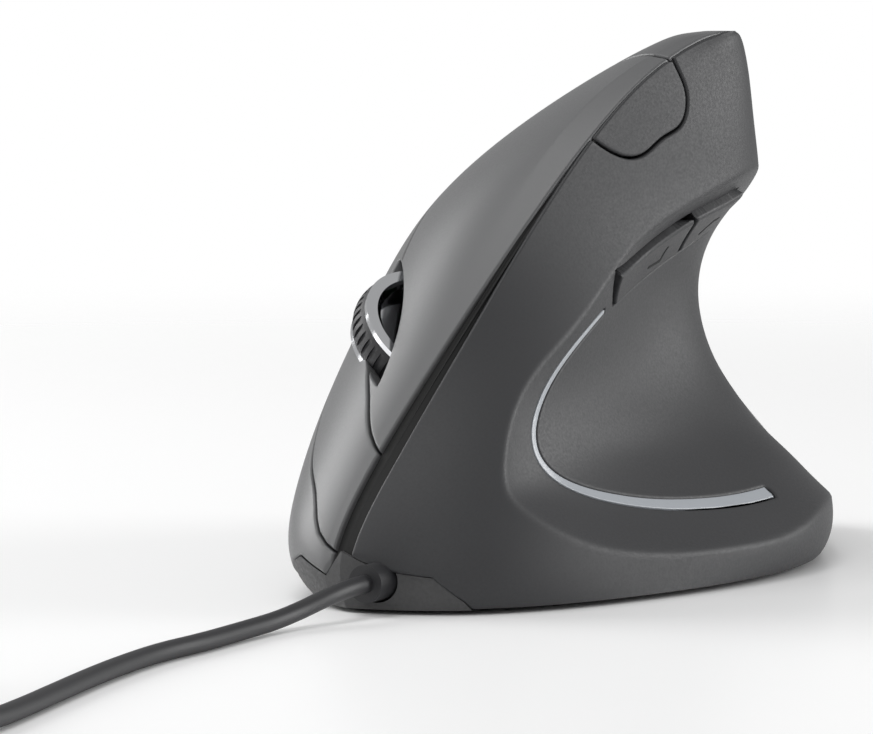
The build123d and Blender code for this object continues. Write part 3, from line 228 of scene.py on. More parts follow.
CHEVRON_REAR = ((0.085, 0.622), (0.097, 0.645), (0.108, 0.649))
CHEVRON_WIDTH = 0.45 * MM
THUMB_HINGE = (0.156, -0.103, 0.503)
THUMB_RISE = 0.3
THUMB_TILT = math.radians(9)
THUMB_REACH = (-0.024, 0.026)
THUMB_LEVELS = (0.030, 0.060)
THUMB_COLUMNS = 130
THUMB_ROWS = 90

# Outline of the base's nose from the front, in shares of width and height
NOSE = ((-0.328, -0.100), (-0.328, 0.000), (-0.264, 0.069), (-0.217, 0.086), (-0.130, 0.061),
        (-0.095, 0.105), (-0.044, 0.089), (0.019, 0.074), (0.102, 0.065), (0.155, 0.023),
        (0.172, 0.000), (0.172, -0.100))

# The cord: its exit, the run on the floor and the coil beside the picture
CORD_RADIUS = 1.2 * MM
CORD_ROUTE = ((-0.009, -0.5206, 0.0572), (-0.009, -0.567, 0.0572), (-0.053, -0.649, 0.0200),
              (-0.047, -0.747, 0.0164), (-0.031, -0.842, 0.0164), (-0.031, -0.928, 0.0164),
              (0.016, -1.065, 0.0164), (0.078, -1.194, 0.0164), (0.125, -1.289, 0.0164),
              (0.164, -1.375, 0.0180), (0.190, -1.478, 0.0280), (0.190, -1.581, 0.0280))
COIL_PITCH = 2.86 * MM
COIL_LAYERS = 4
COIL_HALF_TURNS = 7
COIL_MIDDLE_RADIUS = 12.9 * MM
COIL_TAIL = 18.8 * MM
PLUG_HEIGHT = 7.6 * MM
POINTS_PER_HALF_TURN = 8


def spline(knots: np.ndarray, values: np.ndarray, at: np.ndarray) -> np.ndarray:
    """Reads a cubic spline through values at knots.

    Args:
        knots: Rising places of the values.
        values: One row of numbers for each knot.
        at: Places to read.

    Returns:
        One row of numbers for each place.
    """
    knots = np.asarray(knots, float)
    values = np.asarray(values, float)
    values = values.reshape(len(knots), -1)
    count = len(knots)
    steps = np.diff(knots)
    slopes = np.diff(values, axis=0) / steps[:, None]
    matrix = np.zeros((count, count))
    target = np.zeros_like(values)
    for i in range(1, count - 1):
        matrix[i, i - 1:i + 2] = steps[i - 1], 2 * (steps[i - 1] + steps[i]), steps[i]
        target[i] = 6 * (slopes[i] - slopes[i - 1])
    matrix[0, :3] = steps[1], -(steps[0] + steps[1]), steps[0]
    matrix[-1, -3:] = steps[-1], -(steps[-2] + steps[-1]), steps[-2]
    bend = np.linalg.solve(matrix, target)
    i = np.clip(np.searchsorted(knots, at, "right") - 1, 0, count - 2)
    step = steps[i][:, None]
    before = (np.asarray(at) - knots[i])[:, None]
    after = step - before
    return (bend[i] * after ** 3 + bend[i + 1] * before ** 3) / (6 * step) \
        + (values[i] / step - bend[i] * step / 6) * after \
        + (values[i + 1] / step - bend[i + 1] * step / 6) * before


def resample(points: np.ndarray, count: int) -> np.ndarray:
    """Places points evenly along a smooth line through the given ones."""
    points = np.asarray(points, float)
    along = np.r_[0, np.cumsum(np.linalg.norm(np.diff(points, axis=0), axis=1))]
    return spline(along, points, np.linspace(0, along[-1], count))


def scaled(shares: Sequence, axes: tuple) -> np.ndarray:
    """Turns shares of the body's size into metres along the given axes."""
    return np.asarray(shares, float) * BODY[list(axes)]


class Flat:
    """A plane that points are seen on, for seams and outlines."""

    def __init__(self, origin: Sequence, across: Sequence, along: Sequence) -> None:
        self.origin = np.asarray(origin, float)
        self.axes = np.array((across, along), float)

    def see(self, points: np.ndarray) -> np.ndarray:
        """The flat coordinates of points in space."""
        return (points - self.origin) @ self.axes.T


SIDE = Flat((0, 0, 0), (0, 1, 0), (0, 0, 1))
FRONT = Flat((0, 0, 0), (1, 0, 0), (0, 0, 1))
BUTTON_ACROSS = Vector((1, -1, 0)).normalized()
BUTTONS = Flat(np.array(BUTTON_ORIGIN) * BODY, BUTTON_ACROSS, BUTTON_NORMAL.cross(BUTTON_ACROSS))
ROLLING = WHEEL_AXIS.cross(WHEEL_OUT)
SLOT_ALONG = (ROLLING - BUTTON_NORMAL * ROLLING.dot(BUTTON_NORMAL)).normalized()
SLOT = Flat(np.array(SLOT_ORIGIN) * BODY, SLOT_ALONG, BUTTON_NORMAL.cross(SLOT_ALONG))


@dataclass(frozen=True)
class Line:
    """A line on a plane, which says on which side of it and how far away a point is.

    Attributes:
        plane: The plane that it lies on.
        points: Its points on that plane.
    """

    plane: Flat
    points: np.ndarray

    @classmethod
    def through(cls, plane: Flat, points: np.ndarray, reach: float = SEAM_REACH) -> "Line":
        """A smooth line through a few points, drawn out straight at both ends."""
        line = resample(points, LINE_POINTS)
        first, last = line[0] - line[1], line[-1] - line[-2]
        first *= reach / np.linalg.norm(first)
        last *= reach / np.linalg.norm(last)
        return cls(plane, np.concatenate(([line[0] + first], line, [line[-1] + last])))

    def nearest(self, where: np.ndarray) -> tuple:
        """Distance, side and place along the line, for each point."""
        seen = self.plane.see(where)
        best = np.full(len(seen), np.inf)
        side = np.ones(len(seen))
        place = np.zeros(len(seen))
        for number, (start, way) in enumerate(zip(self.points[:-1], np.diff(self.points, axis=0))):
            rel = seen - start
            share = np.clip(rel @ way / (way @ way), 0, 1)
            gap = np.linalg.norm(rel - share[:, None] * way, axis=1)
            nearer = gap < best - NEARER_BY
            best[nearer] = gap[nearer]
            side[nearer] = np.sign(way[0] * rel[nearer, 1] - way[1] * rel[nearer, 0])
            place[nearer] = number + share[nearer]
        return best, np.where(side == 0, 1, side), place / (len(self.points) - 1)

    def distance(self, where: np.ndarray) -> np.ndarray:
        """Distances from the line, positive on its left."""
        best, side, _ = self.nearest(where)
        return best * side

    def inside(self, where: np.ndarray) -> np.ndarray:
        """Distances from a closed line, positive inside."""
        seen = self.plane.see(where)
        odd = np.zeros(len(seen), bool)
        for (x0, y0), (x1, y1) in zip(self.points[:-1], self.points[1:]):
            if y0 == y1:
                continue
            spans = (y0 > seen[:, 1]) != (y1 > seen[:, 1])
            odd ^= spans & (seen[:, 0] < x0 + (x1 - x0) * (seen[:, 1] - y0) / (y1 - y0))
        return self.nearest(where)[0] * np.where(odd, 1, -1)


Cut = Callable[[np.ndarray], np.ndarray]


@dataclass
class Skin:
    """A triangle mesh with a normal at each point.

    Attributes:
        points: Places in metres.
        normals: Unit normals that point outwards.
        faces: Three point numbers for each triangle.
    """

    points: np.ndarray
    normals: np.ndarray
    faces: np.ndarray

    @classmethod
    def from_grid(cls, grid: np.ndarray) -> "Skin":
        """Makes a skin from rows and columns of points."""
        rows, columns = grid.shape[:2]
        along = np.gradient(grid, axis=0)
        across = np.gradient(grid, axis=1)
        normals = np.cross(across, along)
        normals /= np.maximum(np.linalg.norm(normals, axis=2, keepdims=True), SHORTEST)
        number = np.arange(rows * columns).reshape(rows, columns)
        a, b, c, d = number[:-1, :-1], number[:-1, 1:], number[1:, 1:], number[1:, :-1]
        first = np.stack((a, b, c), -1).reshape(-1, 3)
        second = np.stack((a, c, d), -1).reshape(-1, 3)
        faces = np.concatenate((first, second))
        return cls(grid.reshape(-1, 3), normals.reshape(-1, 3), faces)

    def split(self, cut: Cut, level: float) -> None:
        """Adds points where the skin's edges cross a level of a cut, so that edges run along it."""
        value = cut(self.points) - level
        value[np.abs(value) < SNAP] = SNAP
        above = value > 0
        faces = self.faces
        count = above[faces].sum(1)
        crossed = faces[(count == 1) | (count == 2)]
        if not len(crossed):
            return
        whole = faces[(count == 0) | (count == 3)]
        flags = above[crossed]
        lone_up = flags.sum(1) == 1
        lone = np.where(lone_up, flags.argmax(1), (~flags).argmax(1))
        pick = np.arange(len(crossed))
        a = crossed[pick, lone]
        b = crossed[pick, (lone + 1) % 3]
        c = crossed[pick, (lone + 2) % 3]
        edges = np.sort(np.concatenate((np.stack((a, b), 1), np.stack((a, c), 1))), 1)
        unique, back = np.unique(edges, axis=0, return_inverse=True)
        back = back.reshape(-1)
        low, high = unique[:, 0], unique[:, 1]
        start, end = np.zeros(len(unique)), np.ones(len(unique))
        up = value[low] > 0
        share = value[low] / (value[low] - value[high])
        for _ in range(SEARCH_STEPS):
            spot = self.points[low] * (1 - share[:, None]) + self.points[high] * share[:, None]
            same = (cut(spot) - level > 0) == up
            start = np.where(same, share, start)
            end = np.where(same, end, share)
            share = (start + end) / 2
        spot = self.points[low] * (1 - share[:, None]) + self.points[high] * share[:, None]
        normal = self.normals[low] * (1 - share[:, None]) + self.normals[high] * share[:, None]
        normal /= np.linalg.norm(normal, axis=1, keepdims=True)
        first = len(self.points)
        p = first + back[:len(a)]
        q = first + back[len(a):]
        self.points = np.concatenate((self.points, spot))
        self.normals = np.concatenate((self.normals, normal))
        self.faces = np.concatenate((whole, np.stack((a, p, q), 1), np.stack((p, b, c), 1),
                                     np.stack((p, c, q), 1)))

    def carve(self, cut: Cut, rounding: float) -> "Skin":
        """Keeps what lies where a cut is positive, and rounds the edge there inwards."""
        for share in ROUNDING_STEPS:
            self.split(cut, rounding * share)
        middle = self.points[self.faces].mean(1)
        self.faces = self.faces[cut(middle) > 0]
        used, back = np.unique(self.faces, return_inverse=True)
        self.points, self.normals = self.points[used], self.normals[used]
        self.faces = back.reshape(-1, 3)
        inside = np.clip(cut(self.points), 0, rounding)
        drop = rounding - np.sqrt(np.maximum(rounding ** 2 - (rounding - inside) ** 2, 0))
        self.points = self.points - self.normals * drop[:, None]
        return self

    def walled(self, wall: float) -> tuple:
        """Points and faces of the skin with a wall inwards, closed along its edges."""
        count = len(self.points)
        inner = self.points - self.normals * wall
        edges = np.concatenate([self.faces[:, pair] for pair in ((0, 1), (1, 2), (2, 0))])
        _, first, uses = np.unique(np.sort(edges, 1), axis=0, return_index=True, return_counts=True)
        rim = edges[first[uses == 1]]
        start, end = rim[:, 0], rim[:, 1]
        faces = np.concatenate((self.faces, self.faces[:, ::-1] + count,
                                np.stack((end, start, start + count), 1),
                                np.stack((end, start + count, end + count), 1)))
        return np.concatenate((self.points, inner)), faces

    def mesh_object(self, name: str, wall: float, box: Optional[tuple] = None) -> bpy.types.Object:
        """Makes a smooth object of the skin.

        Args:
            name: Name of the object.
            wall: Thickness of its wall in metres.
            box: Lowest and highest corner that it is held between, if any.

        Returns:
            The object, linked into the scene.
        """
        points, faces = self.walled(wall)
        points = points + SHIFT
        if box:
            points = np.clip(points, *box)
        mesh = bpy.data.meshes.new(name)
        mesh.from_pydata(points.tolist(), [], faces.tolist())
        mesh.polygons.foreach_set("use_smooth", [True] * len(mesh.polygons))
        mesh.update()
        mesh.set_sharp_from_angle(angle=SHARP_ANGLE)
        piece = bpy.data.objects.new(name, mesh)
        bpy.context.scene.collection.objects.link(piece)
        return piece


def box_of(node: str) -> tuple:
    """The lowest and the highest corner of a node of the frame."""
    mesh = frame["nodes"][node].data
    places = np.empty(len(mesh.vertices) * 3)
    mesh.vertices.foreach_get("co", places)
    places = places.reshape(-1, 3)
    return places.min(0), places.max(0)


class Form:
    """The body's outer skin on its two sides, and the scoop for the thumb.

    Args:
        rows: Rows of points up the body.
        columns: Points round each side.
    """

    def __init__(self, rows: int, columns: int) -> None:
        levels = np.arange(len(LEVELS), dtype=float)
        fine = np.linspace(TRACK_START, levels[-1], TRACK_STEPS)
        track = np.c_[spline(levels, scaled(GUIDES["palm"], (0, 1)), fine),
                      spline(levels, np.array(LEVELS) * BODY[2], fine)]
        along = np.r_[0, np.cumsum(np.linalg.norm(np.diff(track, axis=0), axis=1))]
        self.rows = np.interp(np.linspace(0, along[-1], rows), along, fine)
        self.columns = columns
        self.heights = spline(levels, np.array(LEVELS) * BODY[2], self.rows)[:, 0]
        self.lines = {name: spline(levels, scaled(pairs, (0, 1)), self.rows)
                      for name, pairs in GUIDES.items()}
        self.band = spline(levels, np.array(BAND_SHARES), self.rows)[:, 0]
        depth = np.array(SCOOP_DEPTHS) * BODY[0]
        self.scoop_y = np.array(SCOOP_STATIONS) * BODY[1]
        self.scoop_z = np.array(SCOOP_HEIGHTS) * BODY[2]
        self.scoop_grid_y = np.linspace(self.scoop_y[0], self.scoop_y[-1], SCOOP_COLUMNS)
        self.scoop_grid_z = np.linspace(self.scoop_z[0] - SCOOP_BELOW, self.scoop_z[-1] + SCOOP_ABOVE,
                                        SCOOP_ROWS)
        inner = np.clip(self.scoop_grid_z, self.scoop_z[0], self.scoop_z[-1])
        low = np.minimum(self.scoop_grid_z - self.scoop_z[0], 0)
        high = np.maximum(self.scoop_grid_z - self.scoop_z[-1], 0)
        across = spline(self.scoop_z, depth.T, inner).T - SLOPE_BELOW * low + SLOPE_ABOVE * high
        self.scoop_table = spline(self.scoop_y, across, self.scoop_grid_y)

    def ridge_line(self) -> np.ndarray:
        """Points of the front ridge."""
        return np.c_[self.lines["ridge"], self.heights]

    def scoop_at(self, y: np.ndarray, z: np.ndarray) -> np.ndarray:
        """How far the scoop's surface is from the middle plane."""
        ys, zs = self.scoop_grid_y, self.scoop_grid_z
        fy = np.clip((y - ys[0]) / (ys[1] - ys[0]), 0, len(ys) - 1.001)
        fz = np.clip((z - zs[0]) / (zs[1] - zs[0]), 0, len(zs) - 1.001)
        i, j = fy.astype(int), fz.astype(int)
        u, v = fy - i, fz - j
        t = self.scoop_table
        lower = t[i, j] * (1 - u) + t[i + 1, j] * u
        upper = t[i, j + 1] * (1 - u) + t[i + 1, j + 1] * u
        inside = lower * (1 - v) + upper * v
        beyond = np.maximum(zs[0] - z, 0) * SLOPE_BEYOND + np.maximum(z - zs[-1], 0) * SLOPE_BEYOND
        return inside + beyond

    def close(self, grid: np.ndarray) -> np.ndarray:
        """Adds rows that close a side over the top."""
        top = np.array(TOP_POINT) * BODY
        caps = [grid[-1] * (1 - share) + top * share for share in TOP_SHARES]
        return np.concatenate((grid, np.array(caps)))

    def left(self) -> Skin:
        """The thumb side, with the scoop let into it."""
        grid = np.zeros((len(self.rows), self.columns, 3))
        for row, height in enumerate(self.heights):
            points = np.array([self.lines[name][row] for name in LEFT_GUIDES])
            grid[row, :, :2] = resample(points, self.columns)
            grid[row, :, 2] = height
        x = grid[..., 0]
        scoop = self.scoop_at(grid[..., 1], grid[..., 2])
        gap = x - scoop
        blend = SCOOP_BLEND
        soft = np.where(gap < -blend, x, np.where(gap > blend, scoop,
                        (x + scoop) / 2 - (gap ** 2 + blend ** 2) / (4 * blend)))
        grid[..., 0] = soft
        return Skin.from_grid(self.close(grid))

    def right(self) -> Skin:
        """The palm side, with the flat band beside the front ridge."""
        grid = np.zeros((len(self.rows), self.columns, 3))
        for row, height in enumerate(self.heights):
            points = np.array([self.lines[name][row] for name in RIGHT_GUIDES])
            ridge = self.lines["ridge"][row]
            way = points[-1] - ridge
            length = np.linalg.norm(way)
            outward = np.array((-way[1], way[0])) / length
            crease = ridge + way * (BAND_WIDTH * self.band[row] / length) \
                + outward * (BAND_RISE * self.band[row])
            curved = resample(np.concatenate((points, [crease])), self.columns - BAND_COLUMNS)
            straight = crease + (ridge - crease) * np.linspace(0, 1, BAND_COLUMNS + 1)[1:, None]
            grid[row, :, :2] = np.concatenate((curved, straight))
            grid[row, :, 2] = height
        return Skin.from_grid(self.close(grid))


class Finish(Enum):
    """The record's material slots."""

    CHARCOAL = "shell_charcoal"
    GREY = "shell_grey"
    BASE = "base_grey"
    PAD = "glide_pad"
    STRIP = "light_strip"
    INNER = "inner_plastic"
    STEEL = "steel"
    SCREW = "screw_steel"
    BOARD = "board_green"
    BLACK = "component_black"
    SWITCH = "switch_body"
    LENS = "clear_lens"
    LED = "led_lens"
    CONNECTOR = "connector_white"
    CAPACITOR = "capacitor_case"
    TYRE = "tyre_rubber"
    CHROME = "rim_chrome"
    CORD = "cord_jacket"
    PLUG = "plug_black"
    PLATED = "plug_steel"


@dataclass(frozen=True)
class Look:
    """A finish.

    Attributes:
        colour: Base colour, linear.
        roughness: Middle roughness.
        metallic: 1 for metal.
        grain: Size in metres of the fine bumps, or 0 for none.
        bump: Strength of the bumps.
        speckle: How far the roughness varies, where there is grain.
    """

    colour: tuple
    roughness: float
    metallic: float = 0.0
    grain: float = 0.0
    bump: float = 0.0
    speckle: float = 0.0


LOOKS = {
    Finish.CHARCOAL: Look((0.0230, 0.0235, 0.0255), 0.55, grain=0.35 * MM, bump=0.05, speckle=0.06),
    Finish.GREY: Look((0.085, 0.086, 0.088), 0.42, grain=0.30 * MM, bump=0.03, speckle=0.04),
    Finish.BASE: Look((0.050, 0.050, 0.051), 0.60, grain=0.45 * MM, bump=0.35, speckle=0.12),
    Finish.PAD: Look((0.030, 0.030, 0.030), 0.35),
    Finish.STRIP: Look((0.330, 0.350, 0.375), 0.28),
    Finish.INNER: Look((0.060, 0.060, 0.062), 0.5),
    Finish.STEEL: Look((0.600, 0.600, 0.610), 0.28, 1.0),
    Finish.SCREW: Look((0.400, 0.400, 0.410), 0.35, 1.0),
    Finish.BOARD: Look((0.020, 0.140, 0.050), 0.4),
    Finish.BLACK: Look((0.004, 0.004, 0.004), 0.8),
    Finish.SWITCH: Look((0.045, 0.045, 0.050), 0.4),
    Finish.LENS: Look((0.850, 0.870, 0.900), 0.08),
    Finish.LED: Look((0.500, 0.040, 0.030), 0.15),
    Finish.CONNECTOR: Look((0.700, 0.690, 0.640), 0.45),
    Finish.CAPACITOR: Look((0.300, 0.300, 0.320), 0.35, 1.0),
    Finish.TYRE: Look((0.022, 0.022, 0.024), 0.55, grain=0.3 * MM, bump=0.06),
    Finish.CHROME: Look((0.780, 0.790, 0.810), 0.12, 1.0),
    Finish.CORD: Look((0.018, 0.018, 0.020), 0.50, grain=0.5 * MM, bump=0.04),
    Finish.PLUG: Look((0.030, 0.030, 0.033), 0.42),
    Finish.PLATED: Look((0.700, 0.700, 0.720), 0.18, 1.0),
}


@cache
def material(finish: Finish) -> bpy.types.Material:
    """The material of a finish, with fine grain from noise, made at its first use."""
    look = LOOKS[finish]
    made = bpy.data.materials.new(finish.value)
    made.use_nodes = True
    tree = made.node_tree
    shader = tree.nodes["Principled BSDF"]
    shader.inputs["Base Color"].default_value = (*look.colour, 1)
    shader.inputs["Roughness"].default_value = look.roughness
    shader.inputs["Metallic"].default_value = look.metallic
    made.diffuse_color = (*look.colour, 1)
    if not look.grain:
        return made
    place = tree.nodes.new("ShaderNodeTexCoord")
    noise = tree.nodes.new("ShaderNodeTexNoise")
    noise.inputs["Scale"].default_value = 1 / look.grain
    noise.inputs["Detail"].default_value = 2.0
    tree.links.new(place.outputs["Object"], noise.inputs["Vector"])
    bump = tree.nodes.new("ShaderNodeBump")
    bump.inputs["Strength"].default_value = look.bump
    bump.inputs["Distance"].default_value = look.grain / 4
    tree.links.new(noise.outputs[0], bump.inputs["Height"])
    tree.links.new(bump.outputs["Normal"], shader.inputs["Normal"])
    spread = tree.nodes.new("ShaderNodeMapRange")
    spread.inputs["From Min"].default_value = 0.3
    spread.inputs["From Max"].default_value = 0.7
    spread.inputs["To Min"].default_value = look.roughness - look.speckle
    spread.inputs["To Max"].default_value = look.roughness + look.speckle
    tree.links.new(noise.outputs[0], spread.inputs["Value"])
    tree.links.new(spread.outputs["Result"], shader.inputs["Roughness"])
    return made


@dataclass
class Shell:
    """A shell of the body, carved out of a skin.

    Attributes:
        node: The frame's node that it stands for.
        finish: Its finish.
        skin: The skin that it is carved from.
        cuts: Where it ends: each is positive inside.
        rounding: Radius of its edges.
        guide: A cut that the skin gets points along first, for a thin feature.
    """

    node: str
    finish: Finish
    skin: Skin
    cuts: list = field(default_factory=list)
    rounding: float = EDGE_ROUNDING
    guide: Optional[Cut] = None

    def build(self, body: str, wall: float = WALL) -> bpy.types.Object:
        """Carves the shell and lets it ride on its body."""
        if self.guide:
            self.skin.split(self.guide, 0.0)
        for one in self.cuts:
            self.skin.carve(one, self.rounding)
        piece = self.skin.mesh_object("shell_" + self.node, wall, box_of(self.node))
        return dress(piece, self.finish, body, self.node)


def dress(piece: bpy.types.Object, finish: Finish, body: str, *nodes: str) -> bpy.types.Object:
    """Gives a piece its finish and its body, and hides the nodes of the frame that it takes the place
    of.

    Args:
        piece: The object.
        finish: Its finish.
        body: The body that it rides on.
        nodes: Nodes of the frame that it takes the place of.

    Returns:
        The same object.
    """
    piece.data.materials.clear()
    piece.data.materials.append(material(finish))
    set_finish(piece, finish.value)
    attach(piece, body)
    if nodes:
        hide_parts(*nodes)
    return piece


class Mouse:
    """The shells of the mouse, with the seams and outlines that they end at."""

    def __init__(self) -> None:
        self.form = Form(SKIN_ROWS, SKIN_COLUMNS)
        ridge = self.form.ridge_line()
        self.ridge = np.concatenate((ridge[:-1:RIDGE_STEP], ridge[-1:]))
        self.gap = np.interp(self.ridge[:, 2], np.array(LEVELS) * BODY[2],
                             np.array(RIDGE_GAP_SHARES) * RIDGE_GAP)
        spine = np.c_[self.form.lines["spine"], self.form.heights]
        self.spine = np.concatenate((spine[:-1:RIDGE_STEP], spine[-1:]))
        self.middle = Line.through(BUTTONS, BUTTONS.see(scaled(MIDDLE_SEAM, (0, 1, 2))))
        self.lower = Line.through(BUTTONS, BUTTONS.see(scaled(LOWER_SEAM, (0, 1, 2))))
        self.rear = Line.through(BUTTONS, BUTTONS.see(scaled(REAR_SEAM, (0, 1, 2))))
        nose = scaled(NOSE, (0, 2))
        self.nose = Line(FRONT, np.concatenate((nose, nose[:1])))
        self.dpi = Line.through(SIDE, scaled(DPI_SEAM, (1, 2)))
        self.accent = Line(SIDE, resample(scaled(ACCENT, (1, 2)), ACCENT_POINTS))
        self.split = Line.through(SIDE, scaled(THUMB_SPLIT, (1, 2)), SPLIT_REACH)

    def from_ridge(self, where: np.ndarray) -> np.ndarray:
        """How far points are from the gap along the front ridge and from the parting behind."""
        best = np.full(len(where), np.inf)
        parting = np.full(len(self.spine), PARTING_HALF)
        for line, gaps in ((self.ridge, self.gap), (self.spine, parting)):
            for number in range(len(line) - 1):
                start, way = line[number], line[number + 1] - line[number]
                length = way @ way
                if length < SHORTEST_SQUARED:
                    continue
                rel = where - start
                share = np.clip(rel @ way / length, 0, 1)
                gap = gaps[number] * (1 - share) + gaps[number + 1] * share
                best = np.minimum(best, np.linalg.norm(rel - share[:, None] * way, axis=1) - gap)
        return best

    def from_nose(self, where: np.ndarray) -> np.ndarray:
        """How far points are outside the nose of the base."""
        away = -self.nose.inside(where) - NOSE_GAP
        return np.maximum(away, where[:, 1] + NOSE_REAR)

    def from_strip(self, where: np.ndarray) -> np.ndarray:
        """How far points are outside the light strip."""
        gap, _, place = self.accent.nearest(where)
        widths = np.interp(place, np.linspace(0, 1, len(ACCENT_WIDTHS)), ACCENT_WIDTHS) * ACCENT_WIDTH
        return gap - widths / 2

    def from_slot(self, where: np.ndarray) -> np.ndarray:
        """How far points are outside the wheel's slot."""
        seen = SLOT.see(where)
        half, high = SLOT_LENGTH / 2, SLOT_WIDTH / 2
        radius = (half ** 2 + high ** 2) / (2 * high)
        offset = radius - high
        one = np.hypot(seen[:, 0], seen[:, 1] + offset) - radius
        two = np.hypot(seen[:, 0], seen[:, 1] - offset) - radius
        return np.maximum(one, two)

    def thumb_outline(self, grow: tuple) -> Line:
        """The field of the thumb buttons, seen from the thumb side.

        Args:
            grow: How far it is grown in front, above, behind and below, in metres.

        Returns:
            Its closed outline.
        """
        front, above, behind, below = grow
        top = resample(scaled(THUMB_TOP, (1, 2)), OUTLINE_POINTS) + np.array((0, above))
        low = resample(scaled(THUMB_LOW, (1, 2)), OUTLINE_POINTS) - np.array((0, below))
        top[:, 0] += np.linspace(-front, behind, OUTLINE_POINTS)
        low[:, 0] += np.linspace(-front, behind, OUTLINE_POINTS)
        ring = np.concatenate((low, top[::-1], low[:1]))
        return Line(SIDE, ring)

    def build_right(self) -> None:
        """Palm cover, the two finger buttons, and a black strip sunk under the gap along the ridge,
        which is painted shade in that gap.
        """
        Shell("index_button", Finish.GREY, self.form.right(), [
            self.from_ridge, lambda p: -self.middle.distance(p) - SEAM_HALF,
            lambda p: self.rear.distance(p) - SEAM_HALF, self.from_slot]).build("index_key")
        Shell("middle_button", Finish.GREY, self.form.right(), [
            lambda p: self.middle.distance(p) - SEAM_HALF, lambda p: -self.lower.distance(p) - SEAM_HALF,
            lambda p: self.rear.distance(p) - SEAM_HALF, self.from_slot, self.from_ridge,
            self.from_nose]).build("middle_key")
        Shell("palm_cover", Finish.GREY, self.form.right(), [
            lambda p: np.maximum(self.lower.distance(p), -self.rear.distance(p)) - SEAM_HALF,
            self.from_ridge, self.from_nose]).build("base")
        # A black strip sunk below the ridge gap on both sides: painted shade that darkens the gap
        for skin in (self.form.right(), self.form.left()):
            skin.carve(lambda p: -self.from_ridge(p) - SHADE_GAP, SHARP_EDGE)
            skin.carve(self.from_nose, SHARP_EDGE)
            skin.points = skin.points - skin.normals * RIDGE_DEPTH
            dress(skin.mesh_object("ridge_gap_shade", SHADE_WALL, box_of("palm_cover")), Finish.BLACK, "base")

    def build_left(self) -> None:
        """Left cover with the light strip's groove, and the small button in its top."""
        window = self.thumb_outline(WINDOW_GROW)
        Shell("dpi_button", Finish.CHARCOAL, self.form.left(),
              [self.from_ridge, lambda p: -self.dpi.distance(p) - SEAM_HALF]).build("dpi_key")
        Shell("left_cover", Finish.CHARCOAL, self.form.left(), [
            self.from_ridge, lambda p: self.dpi.distance(p) - SEAM_HALF, self.from_nose,
            lambda p: -window.inside(p), lambda p: self.from_strip(p) - STRIP_GAP],
            guide=self.accent.distance).build("base")
        strip = Shell("accent_strip", Finish.STRIP, self.form.left(), [
            lambda p: -self.from_strip(p)], rounding=STRIP_ROUNDING, guide=self.accent.distance)
        strip.skin.points = strip.skin.points - strip.skin.normals * STRIP_SINK
        strip.build("base", wall=STRIP_WALL)

    def thumb_skin(self) -> np.ndarray:
        """Rows of points of the scoop's surface, turned outwards about its lower edge."""
        y = np.linspace(*THUMB_REACH, THUMB_COLUMNS)
        z = np.linspace(*THUMB_LEVELS, THUMB_ROWS)
        grid = np.zeros((len(z), len(y), 3))
        grid[..., 1], grid[..., 2] = np.meshgrid(y, z)
        grid[..., 0] = self.form.scoop_at(grid[..., 1], grid[..., 2])
        pivot = np.array(THUMB_HINGE) * BODY
        axis = Vector((0, 1, THUMB_RISE)).normalized()
        turn = np.array(axis_turn(axis, THUMB_TILT))
        return (grid - pivot) @ turn.T + pivot

    def build_thumb_keys(self) -> None:
        """Thumb buttons, carved from one turned skin, with their marks."""
        grid = self.thumb_skin()
        outline = self.thumb_outline(KEY_GROW)
        for node, body, sign in (("forward_button", "forward_key", 1), ("back_button", "back_key", -1)):
            Shell(node, Finish.CHARCOAL, Skin.from_grid(grid), [
                outline.inside, lambda p, s=sign: -s * self.split.distance(p) - SPLIT_HALF],
                rounding=KEY_ROUNDING).build(body)
        for body, shares in (("forward_key", CHEVRON_FRONT), ("back_key", CHEVRON_REAR)):
            arrow = Line(SIDE, scaled(shares, (1, 2)))
            mark = Skin.from_grid(grid)
            mark.carve(lambda p, a=arrow: CHEVRON_WIDTH / 2 - a.nearest(p)[0], SHARP_EDGE)
            mark.points = mark.points + mark.normals * MARK_LIFT
            dress(mark.mesh_object("mark_" + body, MARK_WALL), Finish.BLACK, body)


def axis_turn(axis: Vector, angle: float) -> list:
    """The rows of a turn about an axis.

    Args:
        axis: Unit direction to turn about.
        angle: Turn in radians, by the right-hand rule.

    Returns:
        Three rows of three numbers.
    """
    return [list(row) for row in Matrix.Rotation(angle, 3, axis)]


def dress_nodes() -> None:
    """Gives every node of the frame the finish that the record names, with smooth faces."""
    slots = {part["node"]: part["material_slot"] for part in frame["record"]["subparts"]}
    for name, node in frame["nodes"].items():
        finish = Finish(slots[name])
        node.data.materials.clear()
        node.data.materials.append(material(finish))
        node["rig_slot"] = finish.value
        node.data.polygons.foreach_set("use_smooth", [True] * len(node.data.polygons))
        node.data.set_sharp_from_angle(angle=SMOOTH_ANGLE)


